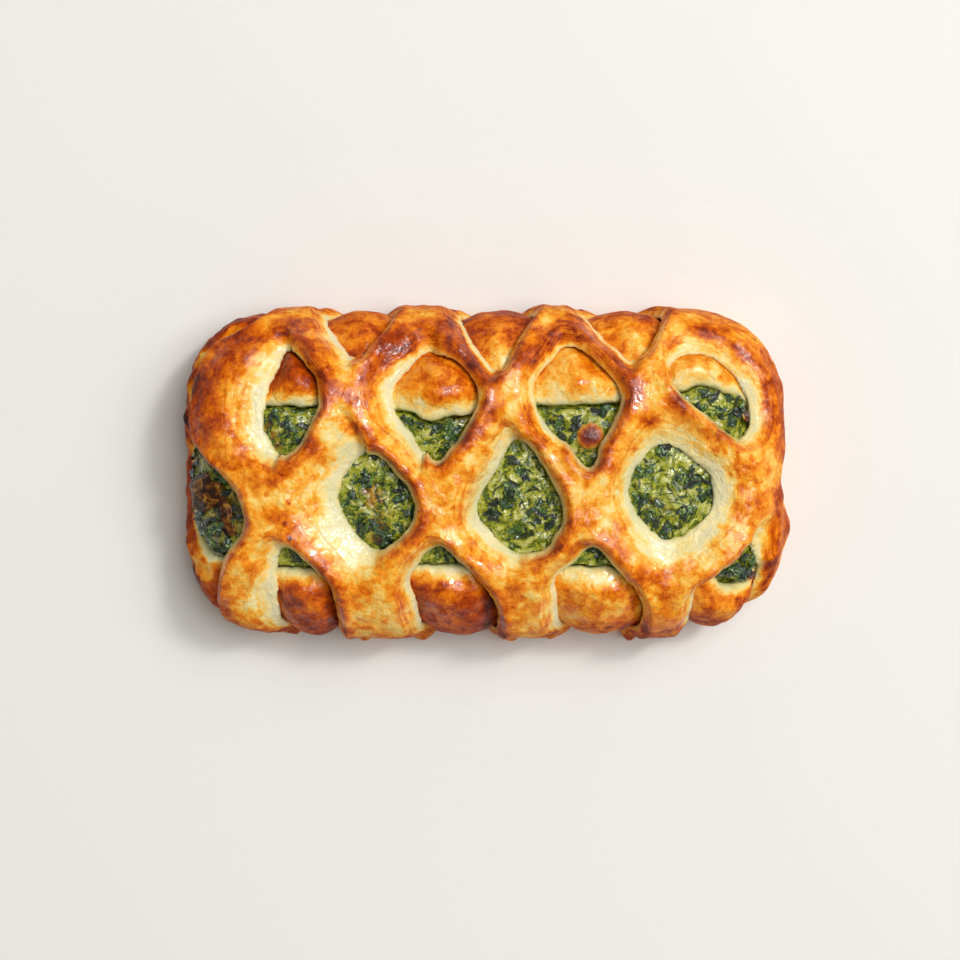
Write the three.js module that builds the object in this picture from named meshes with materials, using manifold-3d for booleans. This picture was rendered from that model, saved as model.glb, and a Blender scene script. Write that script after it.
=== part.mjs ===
// Spinach pie: a loaf-shaped puff pastry parcel, 15 cm long, baked free-standing.
//
// Three pieces lie over one another on one rounded loaf:
//   filling         the log of spinach and soft cheese, which fills the parcel, shows in the open slot along
//                   its top and spills out at the left end
//   pastry_case     the sheet under and around the filling, whose two long flaps are folded over the top and
//                   puff up into pillows wherever the lattice leaves them free
//   pastry_lattice  the slit and stretched sheet over everything, its ends tucked down to the base
//
// Millimetres, +Z up, the long side along X, the slot open at the top. A place on the loaf is given as
// (along, across, out): along and across are measured over the skin from the middle of the top, as on a
// cloth laid over the loaf, and out is the height above the skin.
import * as THREE from 'three';
import { mergeVertices } from 'three/addons/utils/BufferGeometryUtils.js';
import Module from 'manifold-3d';

const wasm = await Module();
wasm.setup();

// ---------------------------------------------------------------- driving dimensions

// The loaf: the outer skin of the case without its pillows
const LOAF_HALF_LENGTH = 70.8;
const LOAF_HALF_WIDTH = 37.4;
const WAIST_HEIGHT = 10.5; // where the loaf is widest, above the base
const CROWN = 20.5; // from the waist to the top
const KEEL = 16; // from the waist to where the underside would close, were it not flat
const LOAF_CENTRE_X = -0.3;
const LOAF_CENTRE_Y = 0;
const END_POWER = 8; // squareness of the ends, sides, top and underside
const SIDE_POWER = 3.4;
const TOP_POWER = 2.4;
const KEEL_POWER = 4;

const CLEARANCE = 0.3; // between pieces that touch
const ABOVE_ALL = 60; // cutting blocks reach from below the base to here
const BELOW_BASE = -1;

// The case
const CASE_WALL = 2.6;
const SLOT_BACK = 17.5; // the slot's two long edges, across, and its ends, along
const SLOT_FRONT = -21.5;
const SLOT_RIGHT = 66;
const SLOT_LEFT = -96;
const SLOT_CORNER = 8;
const SLOT_FLOOR = 17.7; // height down to which the slot is cut
const SLOT_NOTCH = { left: 56, right: 70, front: -27, back: -17, corner: 4 }; // in the front flap's right end
const LEFT_MOUTH_SILL = 17; // height of the case wall under the filling that spills out at the left end
const LEFT_MOUTH_DEPTH = 12; // how far in from the left end the mouth reaches
const LEFT_MOUTH_NARROWER = 4; // how much its back edge is set in from the slot's
const PILLOW_RISE = 3.6;
const PILLOW_LIP = 1; // distance from the slot's edge, inside and outside, over which a pillow flattens
const PILLOW_EDGE = 5;
const END_PUFF = 3.3; // how far the uncovered left end puffs out
const END_PUFF_START = 0.6; // leftward lean of the skin from which it does so, and where it does so in full
const END_PUFF_FULL = 0.95;

// The filling
const SLOT_FILL_LEVEL = -0.9; // below the skin, under the strips
const MOUND_RISE = 0.9; // how much more it rises in an opening of the lattice
const MOUTH_BULGE = 1.4; // how far it stands out of the left end
const MOUTH_BULGE_FULL = 2; // distance from the left end at which it does so in full

// The lattice
const STRIP_LOW = 2.1; // thickness where a strip dips to an opening
const STRIP_RIDGE = 5.6; // height of its raised edge on the top, and less on the flanks
const FLANK_RIDGE = 3.6;
const LATTICE_LEFT_INSET = 5.3; // how far in from the left end the sheet is cut short
const OPENING_POWER = 1.35; // 1 is a straight-sided diamond, 2 an ellipse
const OPENING_CUT_LOW = -5; // heights over the skin between which an opening is cut
const OPENING_CUT_HIGH = 22;

// Openings of the lattice: the middle of each, its reach to the left, right, back and front, its lean (the shift
// sideways for each millimetre towards the back), and how wide the strip beside it dips on those four sides.
const OPENINGS = [
  { row: 'back', along: -61, across: 41, reach: [9, 9, 12, 10], lean: -0.3, dip: [5, 4, 4, 4] },
  { row: 'back', along: -30, across: 42, reach: [11, 10, 12, 14], lean: -0.45, dip: [8, 4, 4, 4] },
  { row: 'back', along: 2.5, across: 42, reach: [11, 9, 12, 15], lean: -0.2, dip: [8, 4, 4, 4] },
  { row: 'back', along: 35, across: 42, reach: [11, 10, 12, 14], lean: -0.45, dip: [8, 4, 4, 4] },

  { row: 'flap', along: -47, across: 18, reach: [7, 7.6, 14, 13], lean: 0, dip: [14, 4, 7, 6] },
  { row: 'flap', along: -12.4, across: 19, reach: [12.4, 12, 13.5, 15], lean: -0.1, dip: [9, 4, 5, 8] },
  { row: 'flap', along: 22, across: 19, reach: [10, 9.6, 13, 17], lean: -0.25, dip: [5, 4, 4, 6] },
  { row: 'flap', along: 55.6, across: 20.5, reach: [10.5, 10, 12, 11], lean: -0.35, dip: [4, 9, 8, 4] },

  { row: 'slot', along: -70, across: -7, reach: [18, 13.5, 13, 13], lean: 0, dip: [4, 4, 4, 4] },
  { row: 'slot', along: -26, across: -4, reach: [9.6, 9.6, 12, 12], lean: 0, dip: [13, 4, 7, 10] },
  { row: 'slot', along: 9.2, across: -4, reach: [10.4, 10.6, 14, 14], lean: 0, dip: [8, 4, 7, 8] },
  { row: 'slot', along: 46, across: -3.8, reach: [10.4, 10.4, 12.4, 12.4], lean: 0, dip: [9, 10, 9, 9] },

  { row: 'flap', along: -45, across: -28, reach: [11.5, 12, 12, 14], lean: 0, dip: [8, 4, 4, 6] },
  { row: 'flap', along: -10.8, across: -28, reach: [12.5, 12, 12, 15], lean: 0, dip: [8, 4, 4, 6] },
  { row: 'flap', along: 26, across: -28, reach: [12.5, 13, 12, 15], lean: 0, dip: [8, 4, 4, 6] },
  { row: 'flap', along: 61.5, across: -34, reach: [9.5, 8.5, 17, 19], lean: 0.1, dip: [5, 4, 8, 4] },

  { row: 'foot', along: -22, across: -57, reach: [5, 5, 10, 10], lean: 0, dip: [4, 4, 4, 4] },
  { row: 'foot', along: 12.4, across: -57, reach: [4, 4, 10, 10], lean: 0, dip: [4, 4, 4, 4] },
  { row: 'foot', along: 44, across: -57, reach: [6, 6, 11, 10], lean: 0, dip: [4, 4, 4, 4] },
  { row: 'foot', along: -44, across: 66, reach: [7, 7, 12, 13], lean: 0, dip: [4, 4, 4, 4] },
  { row: 'foot', along: -11, across: 66, reach: [7, 7, 12, 13], lean: 0, dip: [4, 4, 4, 4] },
  { row: 'foot', along: 20, across: 66, reach: [6, 6, 12, 13], lean: 0, dip: [4, 4, 4, 4] },
];

// Mesh steps of the loaf's six faces, along, across and up, and points round an opening
const LATTICE_STEPS = [29, 15, 5];
const CASE_STEPS = [22, 12, 4];
const INSIDE_STEPS = [14, 8, 3];
const OPENING_POINTS = 12;
const CORNER_STEPS = 4;

// Turns of the two searches over the skin, and how much of each step of the second is taken
const SCALE_TURNS = 12;
const WALK_TURNS = 30;
const WALK_SHARE = 0.8;
const WALK_START = { along: 0.8, across: 0.6, up: 0.8 }; // where it starts, as shares of the spot and of CROWN
const GIRTH_STEPS = 240;
const GIRTH_TURN = Math.PI * 0.98; // from the top to just short of the underside's middle

// ---------------------------------------------------------------- the loaf's skin

// Powers and half sizes of the loaf at a place measured from its centre
function loafTerms(place) {
  const above = place.z >= 0;
  return [
    [Math.abs(place.x), LOAF_HALF_LENGTH, END_POWER, Math.sign(place.x)],
    [Math.abs(place.y), LOAF_HALF_WIDTH, SIDE_POWER, Math.sign(place.y)],
    [Math.abs(place.z), above ? CROWN : KEEL, above ? TOP_POWER : KEEL_POWER, Math.sign(place.z)],
  ];
}

// Scales a place away from or towards the centre until it lies on the skin
function onSkin(place) {
  const terms = loafTerms(place);
  let scale = 1 / Math.max(...terms.map(([value, size]) => value / size));
  for (let turn = 0; turn < SCALE_TURNS; turn += 1) {
    let excess = -1;
    let slope = 0;
    for (const [value, size, power] of terms) {
      const share = ((scale * value) / size) ** power;
      excess += share;
      slope += (power * share) / scale;
    }
    scale -= excess / slope;
  }
  return place.clone().multiplyScalar(scale);
}

function skinNormal(place) {
  const slope = ([value, size, power, sign]) => (sign * power * (value / size) ** (power - 1)) / size;
  return new THREE.Vector3(...loafTerms(place).map(slope)).normalize();
}

// How much longer the way over the skin is than the way in plan, for each height below the top
function girthTable() {
  const rows = [];
  let travelled = 0;
  let before = null;
  for (let step = 0; step <= GIRTH_STEPS; step += 1) {
    const angle = (step / GIRTH_STEPS) * GIRTH_TURN;
    const here = onSkin(new THREE.Vector3(0, Math.sin(angle), Math.cos(angle)));
    travelled += before ? here.distanceTo(before) : 0;
    rows.push({ height: here.z, extra: travelled - here.y });
    before = here;
  }
  return rows;
}

const GIRTH = girthTable();

function extraGirth(height) {
  let low = 0;
  let high = GIRTH.length - 1;
  while (high - low > 1) {
    const middle = (low + high) >> 1;
    if (GIRTH[middle].height > height) low = middle;
    else high = middle;
  }
  const upper = GIRTH[low];
  const lower = GIRTH[high];
  const share = THREE.MathUtils.clamp((upper.height - height) / (upper.height - lower.height), 0, 1);
  return upper.extra + share * (lower.extra - upper.extra);
}

// The way in plan in which the skin falls away
function fallDirection(normal) {
  const flat = Math.hypot(normal.x, normal.y);
  return flat < 1e-9 ? [0, 0] : [normal.x / flat, normal.y / flat];
}

// Place on the skin to (along, across), and back
function overSkin(place) {
  const [fallX, fallY] = fallDirection(skinNormal(place));
  const extra = extraGirth(place.z);
  return [place.x + fallX * extra, place.y + fallY * extra];
}

function skinPlace(along, across) {
  const { along: shareAlong, across: shareAcross, up } = WALK_START;
  let place = onSkin(new THREE.Vector3(along * shareAlong, across * shareAcross, CROWN * up));
  for (let turn = 0; turn < WALK_TURNS; turn += 1) {
    const [nowAlong, nowAcross] = overSkin(place);
    const missing = [along - nowAlong, across - nowAcross];
    const normal = skinNormal(place);
    const [fallX, fallY] = fallDirection(normal);
    const down = missing[0] * fallX + missing[1] * fallY;
    const aside = missing[1] * fallX - missing[0] * fallY;
    const flat = Math.hypot(normal.x, normal.y);
    const move = fallX === 0 && fallY === 0
      ? new THREE.Vector3(missing[0], missing[1], 0)
      : new THREE.Vector3(
        fallX * normal.z * down - fallY * aside,
        fallY * normal.z * down + fallX * aside,
        -flat * down,
      );
    place = onSkin(place.add(move.multiplyScalar(WALK_SHARE)));
  }
  return place;
}

// ---------------------------------------------------------------- heights over the skin

// Below 1 inside an opening, 1 on its outline
function openingMeasure(opening, along, across) {
  const [left, right, back, front] = opening.reach;
  const dy = across - opening.across;
  const dx = along - opening.along - opening.lean * dy;
  const x = Math.abs(dx) / (dx < 0 ? left : right);
  const y = Math.abs(dy) / (dy < 0 ? front : back);
  return { measure: (x ** OPENING_POWER + y ** OPENING_POWER) ** (1 / OPENING_POWER), dx, dy };
}

// 1 at the outline of an opening, fading to 0 over the width that the strip dips in that direction
function dipOf(opening, along, across) {
  const { measure, dx, dy } = openingMeasure(opening, along, across);
  if (measure <= 1) return 1;
  const far = Math.hypot(dx, dy);
  const outside = far * (1 - 1 / measure);
  const [left, right, back, front] = opening.dip;
  const sideways = (dx < 0 ? left : right) * (dx / far) ** 2;
  const width = sideways + (dy < 0 ? front : back) * (dy / far) ** 2;
  return outside >= width ? 0 : 0.5 + 0.5 * Math.cos((Math.PI * outside) / width);
}

function latticeHeight(along, across, place) {
  const dip = Math.max(...OPENINGS.map((opening) => dipOf(opening, along, across)));
  const ridge = THREE.MathUtils.lerp(FLANK_RIDGE, STRIP_RIDGE, Math.max(skinNormal(place).z, 0));
  return ridge - (ridge - STRIP_LOW) * dip;
}

// A dome over an opening, 1 in its middle and 0 at its outline
function dome(opening, along, across) {
  const { measure } = openingMeasure(opening, along, across);
  return measure >= 1 ? 0 : Math.sqrt(1 - measure ** 2);
}

function caseHeight(along, across, place) {
  const fromSlot = across > 0 ? across - SLOT_BACK : SLOT_FRONT - across;
  const ramp = THREE.MathUtils.smoothstep(fromSlot, -PILLOW_LIP, PILLOW_EDGE);
  const free = OPENINGS.filter(({ row }) => row !== 'slot').map((opening) => dome(opening, along, across));
  const end = THREE.MathUtils.smoothstep(-skinNormal(place).x, END_PUFF_START, END_PUFF_FULL);
  return Math.max(PILLOW_RISE * ramp * Math.max(...free), END_PUFF * end);
}

function fillingHeight(along, across, place) {
  const mound = MOUND_RISE * Math.max(...OPENINGS.map((opening) => dome(opening, along, across)));
  const inner = LOAF_HALF_LENGTH - LEFT_MOUTH_DEPTH;
  const outer = LOAF_HALF_LENGTH - MOUTH_BULGE_FULL;
  return SLOT_FILL_LEVEL + mound + MOUTH_BULGE * THREE.MathUtils.smoothstep(-place.x, inner, outer);
}

// The lattice lies over whichever of the two pieces below stands higher
function underLattice(along, across, place) {
  return CLEARANCE + Math.max(0, caseHeight(along, across, place), fillingHeight(along, across, place));
}

// ---------------------------------------------------------------- solids

function toManifold(geometry) {
  const bare = geometry.clone();
  bare.deleteAttribute('normal');
  bare.deleteAttribute('uv');
  const merged = mergeVertices(bare, 1e-4);
  return new wasm.Manifold(new wasm.Mesh({
    numProp: 3,
    vertProperties: Float32Array.from(merged.attributes.position.array),
    triVerts: Uint32Array.from(merged.index.array),
  }));
}

function toGeometry(manifold) {
  const mesh = manifold.getMesh();
  const geometry = new THREE.BufferGeometry();
  geometry.setAttribute('position', new THREE.BufferAttribute(Float32Array.from(mesh.vertProperties), 3));
  geometry.setIndex(new THREE.BufferAttribute(Uint32Array.from(mesh.triVerts), 1));
  geometry.computeVertexNormals();
  return geometry;
}

// The loaf, grown out of its skin by a height that varies over it, on a flat underside
function loaf(steps, height, underside) {
  const box = new THREE.BoxGeometry(2 * LOAF_HALF_LENGTH, 2 * LOAF_HALF_WIDTH, 2 * CROWN, ...steps);
  const spots = box.attributes.position;
  const spot = new THREE.Vector3();
  for (let index = 0; index < spots.count; index += 1) {
    spot.fromBufferAttribute(spots, index);
    if (spot.z < 0) spot.z *= KEEL / CROWN;
    const place = onSkin(spot);
    const [along, across] = overSkin(place);
    place.addScaledVector(skinNormal(place), height(along, across, place));
    place.z = Math.max(place.z + WAIST_HEIGHT, underside);
    spots.setXYZ(index, place.x + LOAF_CENTRE_X, place.y + LOAF_CENTRE_Y, place.z);
  }
  return toManifold(box);
}

function upright(outline, depth) {
  return new THREE.ExtrudeGeometry(outline, { depth, bevelEnabled: false, steps: 1, curveSegments: CORNER_STEPS });
}

// A flat outline in (along, across), bent over the loaf and reaching from one height to another
function bentPrism(outline, low, high) {
  const prism = upright(outline, high - low);
  const spots = prism.attributes.position;
  for (let index = 0; index < spots.count; index += 1) {
    const place = skinPlace(spots.getX(index), spots.getY(index));
    place.addScaledVector(skinNormal(place), low + spots.getZ(index));
    spots.setXYZ(index, place.x + LOAF_CENTRE_X, place.y + LOAF_CENTRE_Y, place.z + WAIST_HEIGHT);
  }
  return toManifold(prism);
}

function openingOutline(opening) {
  const [left, right, back, front] = opening.reach;
  const points = [];
  for (let step = 0; step < OPENING_POINTS; step += 1) {
    const angle = (step / OPENING_POINTS) * 2 * Math.PI;
    const cos = Math.cos(angle);
    const sin = Math.sin(angle);
    const dx = Math.sign(cos) * Math.abs(cos) ** (2 / OPENING_POWER) * (cos < 0 ? left : right);
    const dy = Math.sign(sin) * Math.abs(sin) ** (2 / OPENING_POWER) * (sin < 0 ? front : back);
    points.push(new THREE.Vector2(opening.along + dx + opening.lean * dy, opening.across + dy));
  }
  return new THREE.Shape(points);
}

// Straight block with rounded corners in plan, standing from one height to another
function block(left, right, front, back, low, high, corner) {
  const outline = new THREE.Shape();
  outline.moveTo(left + corner, front);
  outline.lineTo(right - corner, front);
  outline.quadraticCurveTo(right, front, right, front + corner);
  outline.lineTo(right, back - corner);
  outline.quadraticCurveTo(right, back, right - corner, back);
  outline.lineTo(left + corner, back);
  outline.quadraticCurveTo(left, back, left, back - corner);
  outline.lineTo(left, front + corner);
  outline.quadraticCurveTo(left, front, left + corner, front);
  const solid = upright(outline, high - low);
  solid.translate(LOAF_CENTRE_X, LOAF_CENTRE_Y, low);
  return toManifold(solid);
}

// The slot along the top with its notch and the mouth at the left end, made smaller all round by an inset
function slotBlock(inset) {
  const slot = block(
    -LOAF_HALF_LENGTH + LEFT_MOUTH_DEPTH - SLOT_CORNER, SLOT_RIGHT - inset,
    SLOT_FRONT + inset, SLOT_BACK - inset,
    SLOT_FLOOR, ABOVE_ALL, SLOT_CORNER,
  );
  const mouth = block(
    SLOT_LEFT, -LOAF_HALF_LENGTH + LEFT_MOUTH_DEPTH - inset,
    SLOT_FRONT + inset, SLOT_BACK - inset - LEFT_MOUTH_NARROWER,
    LEFT_MOUTH_SILL + inset, ABOVE_ALL, SLOT_CORNER,
  );
  const { left, right, front, back, corner } = SLOT_NOTCH;
  const notch = block(left + inset, right - inset, front + inset, back, SLOT_FLOOR, ABOVE_ALL, corner);
  return slot.add(mouth).add(notch);
}

// ---------------------------------------------------------------- the three pieces

function makeFilling() {
  const inside = loaf(INSIDE_STEPS, () => -CASE_WALL - CLEARANCE, CASE_WALL + CLEARANCE);
  const risen = loaf(CASE_STEPS, fillingHeight, CASE_WALL + CLEARANCE);
  return inside.add(risen.intersect(slotBlock(CLEARANCE)));
}

function makeCase() {
  const outside = loaf(CASE_STEPS, caseHeight, 0);
  const inside = loaf(INSIDE_STEPS, () => -CASE_WALL, CASE_WALL);
  return outside.subtract(inside).subtract(slotBlock(0));
}

function makeLattice() {
  const outside = loaf(LATTICE_STEPS, (...spot) => CLEARANCE + latticeHeight(...spot), 0);
  const inside = loaf(CASE_STEPS, underLattice, -KEEL);
  const leftEnd = block(
    -2 * LOAF_HALF_LENGTH, -LOAF_HALF_LENGTH + LATTICE_LEFT_INSET,
    -2 * LOAF_HALF_WIDTH, 2 * LOAF_HALF_WIDTH,
    BELOW_BASE, ABOVE_ALL, SLOT_CORNER,
  );
  let sheet = outside.subtract(inside).subtract(leftEnd);
  for (const opening of OPENINGS) {
    sheet = sheet.subtract(bentPrism(openingOutline(opening), OPENING_CUT_LOW, OPENING_CUT_HIGH));
  }
  return sheet;
}

const PIECES = [
  { name: 'filling', make: makeFilling, colour: 0x5c7330, roughness: 0.45 },
  { name: 'pastry_case', make: makeCase, colour: 0xd99a45, roughness: 0.5 },
  { name: 'pastry_lattice', make: makeLattice, colour: 0xcf7f2c, roughness: 0.4 },
];

const pie = new THREE.Group();
pie.name = 'spinach_pie';
for (const { name, make, colour, roughness } of PIECES) {
  const material = new THREE.MeshStandardMaterial({ color: colour, roughness, metalness: 0 });
  const mesh = new THREE.Mesh(toGeometry(make()), material);
  mesh.name = name;
  pie.add(mesh);
}

export default pie;
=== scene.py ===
"""Looks of a spinach pie: a loaf-shaped puff pastry parcel under a slit and stretched lattice sheet.

Everything is worked out over the skin of one rounded loaf. A place on it is given in skin coordinates, in
millimetres: along and across are measured over the skin from the middle of the top, and out is the height
above the skin. Height maps, browning maps and distances to the lattice's openings are made on a flat grid of
(along, across). The pieces are then meshed from solid fields in space, and their vertices carry the
browning.
"""

import math

import bpy
import numpy as np
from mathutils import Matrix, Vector


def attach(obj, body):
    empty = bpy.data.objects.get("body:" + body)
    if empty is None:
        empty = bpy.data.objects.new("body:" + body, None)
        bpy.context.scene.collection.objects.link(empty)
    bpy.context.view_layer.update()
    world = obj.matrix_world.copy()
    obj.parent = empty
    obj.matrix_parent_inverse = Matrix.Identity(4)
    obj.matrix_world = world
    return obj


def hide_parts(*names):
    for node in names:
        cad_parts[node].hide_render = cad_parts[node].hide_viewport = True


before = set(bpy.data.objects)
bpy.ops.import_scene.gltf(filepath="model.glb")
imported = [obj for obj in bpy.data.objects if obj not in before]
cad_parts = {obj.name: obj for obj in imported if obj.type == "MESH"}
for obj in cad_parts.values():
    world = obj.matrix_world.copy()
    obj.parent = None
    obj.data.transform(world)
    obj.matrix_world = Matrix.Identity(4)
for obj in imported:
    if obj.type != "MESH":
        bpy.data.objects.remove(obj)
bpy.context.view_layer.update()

MM = 0.001

# ---------------------------------------- driving dimensions, mm

LOAF_HALF = np.array([70.8, 37.4])  # half length and half width of the loaf at its waist
WAIST_HEIGHT = 10.5
CROWN = 20.5  # how far the loaf rises above its waist
KEEL = 16.0  # and reaches below it, before it is cut off flat
LOAF_CENTRE = np.array([-0.3, 0.0, WAIST_HEIGHT])
END_POWER, SIDE_POWER, TOP_POWER, KEEL_POWER = 8.0, 3.4, 2.4, 4.0

CASE_WALL = 2.6
PILLOW_RISE = 3.7
STRIP_RIDGE = 5.6
FLANK_RIDGE = 3.7
FLANK_LOW = 0.17  # thickness of a strip's thin dipping edge, as a share of its ridge
LIP_LOW = 0.8  # the same for its sharp raised edge
LIP_THICKNESS = 2.3
LIP_WIDTH = 1.8  # a dip narrower than this has a sharp raised edge
FLANK_WIDTH = 5.0  # and one wider than this a thin one
WALL_SLANT = 0.5  # how far the wall of an opening comes in for each millimetre down
LEAST_SHEET = 0.7  # thickness of the lattice sheet at its thinnest
FILLING_GAP = 0.3

LATTICE_VOXEL = 0.65
CASE_VOXEL = 0.8
MAP_STEP = 0.4
COARSE_STEP = 1.6

# ---------------------------------------- openings of the lattice

# Outline of each opening, (along, across), going round it, and its dip: how far from the outline the brow of
# the strip beside it lies, for directions given as compass angles (0 to the right, 90 to the back). Row a is
# behind the middle row b and row c in front of it, z is the back edge, and b4 goes round the front right corner.
OPENINGS = {
    "a1": dict(
        middle=(-46, 17),
        outline=[(-46.6, 31), (-41, 26), (-38.8, 20.5), (-40.4, 13), (-47, 4.8), (-51.4, 9.5), (-52.6, 16),
                 (-51.6, 21), (-49, 27)],
        dip=[(-100, 1.8), (88, 1.8), (97, 6), (115, 9), (150, 13), (180, 13.5), (205, 12), (235, 9),
             (252, 6), (259, 1.8)]),
    "a2": dict(
        middle=(-11.5, 17),
        outline=[(-12.4, 30.5), (-5, 27.5), (-0.6, 20.5), (-3.7, 12), (-11, 3.6), (-17.6, 11.7),
                 (-21, 16.5), (-21.2, 22), (-17, 27.3)],
        dip=[(-100, 1.8), (85, 2.5), (95, 5), (130, 6.5), (160, 10), (180, 10), (210, 8), (240, 6),
             (255, 5), (262, 1.8)]),
    "a3": dict(
        middle=(22, 18),
        outline=[(20, 32.5), (28.5, 27.5), (33.7, 19), (29.8, 10), (25.6, 2.2), (19.6, 7.7), (13.2, 15.5),
                 (11.8, 22), (15.5, 28)],
        dip=[(-95, 1.8), (-30, 2.2), (30, 3), (70, 2.2), (95, 3), (130, 4), (180, 4), (220, 4.5), (250, 4),
             (262, 1.8)]),
    "a4": dict(
        middle=(54, 19.5),
        outline=[(44.3, 25), (47.5, 18.7), (56, 12.2), (61.9, 9), (65, 15), (62.7, 22.5), (57, 28.6),
                 (51, 30), (46.4, 28.6)],
        dip=[(0, 6), (45, 6), (90, 7), (130, 6), (150, 3), (175, 1.8), (270, 1.8), (290, 3), (320, 5)]),
    "b1": dict(
        middle=(-26, -5),
        outline=[(-27, 6.8), (-21.4, 3), (-16.6, -3.8), (-16.2, -9.6), (-20.2, -15), (-25.8, -17.6),
                 (-31, -12.4), (-34.6, -5.2), (-32, 2)],
        dip=[(-80, 1.8), (86, 1.8), (98, 2.5), (107, 13), (135, 12), (180, 14), (215, 14), (240, 11),
             (265, 5)]),
    "b2": dict(
        middle=(9.5, -4.5),
        outline=[(8.5, 9.7), (11.4, 8.3), (15.4, 2.7), (18.6, -3), (19.8, -9), (17, -15.6), (13.3, -18),
                 (8.5, -18.2), (3.6, -14.4), (-0.5, -9.9), (-0.6, -5), (2.8, 1.3), (6.2, 7.3)],
        dip=[(-85, 3), (-60, 2.6), (0, 2.2), (60, 2.2), (92, 2.2), (104, 8), (135, 7.5), (180, 7), (225, 8),
             (255, 6), (268, 4)]),
    "b3": dict(
        middle=(45.5, -3),
        outline=[(42.7, 8.2), (50, 4.5), (55, -0.3), (54, -8.5), (48, -13.6), (42, -13.6), (36.6, -7.5),
                 (35.2, -2), (38, 4.6)],
        dip=[(0, 10), (45, 9), (90, 11.5), (120, 9), (150, 6.5), (180, 6), (225, 8), (270, 12),
             (315, 10)]),
    "b4": dict(
        middle=(62, -27),
        outline=[(54.2, -23.6), (57.5, -21.1), (60.6, -18.8), (62.6, -16.3), (65, -17.2), (67.4, -20),
                 (69.8, -23.4), (70.4, -30), (69.6, -40), (67.5, -50), (63, -57), (57.5, -57), (53.5, -50),
                 (51.6, -42), (51.4, -33), (52, -27)],
        dip=[(-90, 4), (0, 4.5), (45, 3), (56, 8), (66, 13), (76, 9), (86, 2.5), (150, 2), (190, 5),
             (230, 5)]),
    "c1": dict(
        middle=(-42, -30),
        outline=[(-48, -15.8), (-43, -18.6), (-36, -26), (-34.8, -35), (-35, -46), (-37, -56), (-41, -61),
                 (-46, -56), (-49, -44), (-49.8, -32), (-49.8, -23.5)],
        dip=[(-90, 1.8), (108, 1.8), (118, 5), (135, 8), (160, 11), (180, 12), (200, 10), (230, 6),
             (255, 3)]),
    "c2": dict(
        middle=(-6, -32),
        outline=[(-10.4, -15.3), (-5, -19.3), (1.6, -26.2), (4, -33), (3.4, -45), (0, -57), (-5, -61),
                 (-11, -56), (-14.4, -45), (-15.6, -33), (-17.6, -24.2), (-15, -19.3)],
        dip=[(-90, 1.8), (100, 1.8), (112, 4), (180, 5), (220, 5), (255, 2.5)]),
    "c3": dict(
        middle=(28.5, -32),
        outline=[(26.4, -15.3), (31.5, -19.8), (37.4, -26.2), (39.6, -33), (37.6, -45), (34.5, -57),
                 (29, -61), (23.5, -57), (20, -45), (18.4, -33), (17.8, -24.7), (21.8, -19.3)],
        dip=[(-90, 1.8), (95, 1.8), (106, 3.5), (180, 5.4), (220, 5), (255, 2.5)]),
    "z1": dict(
        middle=(-29.5, 44),
        outline=[(-30.3, 27.6), (-26, 31.5), (-22.2, 37.6), (-20.8, 45), (-22, 54), (-27, 60), (-33, 58),
                 (-37.6, 50), (-37.8, 41), (-34.4, 33.7)],
        dip=[(-90, 2), (0, 2), (90, 2.5), (120, 4), (180, 6), (225, 6.5), (255, 6), (265, 3)]),
    "z2": dict(
        middle=(4, 44),
        outline=[(4.5, 25), (8, 30.5), (11.4, 37), (13.6, 45), (12, 54), (7, 60), (0, 59), (-4.6, 53),
                 (-5.2, 45), (-3.6, 37), (-0.6, 30.5)],
        dip=[(-85, 2), (0, 2), (90, 2.5), (120, 4), (180, 6), (225, 6.5), (262, 6), (270, 2.5)]),
    "z3": dict(
        middle=(35, 43),
        outline=[(37.4, 27.5), (41.2, 32), (43.8, 38), (44.6, 44), (43, 51), (38, 58), (31, 58), (26, 52),
                 (25.4, 44), (29.6, 34.5)],
        dip=[(-78, 2), (0, 2), (90, 2.5), (120, 4), (180, 6), (225, 6.5), (270, 6), (278, 2.5)]),
    "left_end": dict(
        middle=(-90, 0),
        outline=[(-50, 84), (-52, 62), (-52.6, 50), (-54, 40), (-60, 34.8), (-65.5, 32.5), (-68.7, 27),
                 (-70, 20), (-70.6, 13), (-68.6, 8), (-64.6, 3.5), (-60, -1), (-56.6, -7), (-57, -13),
                 (-61, -19), (-64, -26), (-65.6, -35), (-64.6, -46), (-60, -58), (-57, -84), (-130, -84),
                 (-130, 84)],
        dip=[(0, 2.2)]),
}


def foot_opening(along, way, tip, right, left):
    """Short slit over the base, at the front (way -1) or the back (way 1).

    Right and left say how far its sides lie from its middle at each of three depths.
    """
    depths = (54, 64, 78) if way < 0 else (57, 66, 78)
    right_side = [(along + reach, way * depth) for reach, depth in zip(right, depths)]
    left_side = [(along - reach, way * depth) for reach, depth in zip(left, depths)]
    return dict(middle=(along, way * depths[1]), outline=[(along, way * tip)] + right_side + left_side[::-1],
                dip=[(0, 2.5)])


OPENINGS["foot_front_left"] = foot_opening(-22, -1, 47, (3.4, 5, 5), (3.4, 5, 5.5))
OPENINGS["foot_front_middle"] = foot_opening(12.4, -1, 47, (2.6, 3.2, 3.2), (2.4, 3, 3))
OPENINGS["foot_front_right"] = foot_opening(44, -1, 45, (4, 5.6, 5.6), (4, 6, 6))
OPENINGS["foot_back_left"] = foot_opening(-44, 1, 50, (4.4, 5.4, 5.4), (4, 5, 5))
OPENINGS["foot_back_middle"] = foot_opening(-11, 1, 50, (4, 5.4, 5.4), (4.4, 6, 6))
OPENINGS["foot_back_right"] = foot_opening(20, 1, 50, (4, 5, 5), (3.6, 5, 5))

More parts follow.
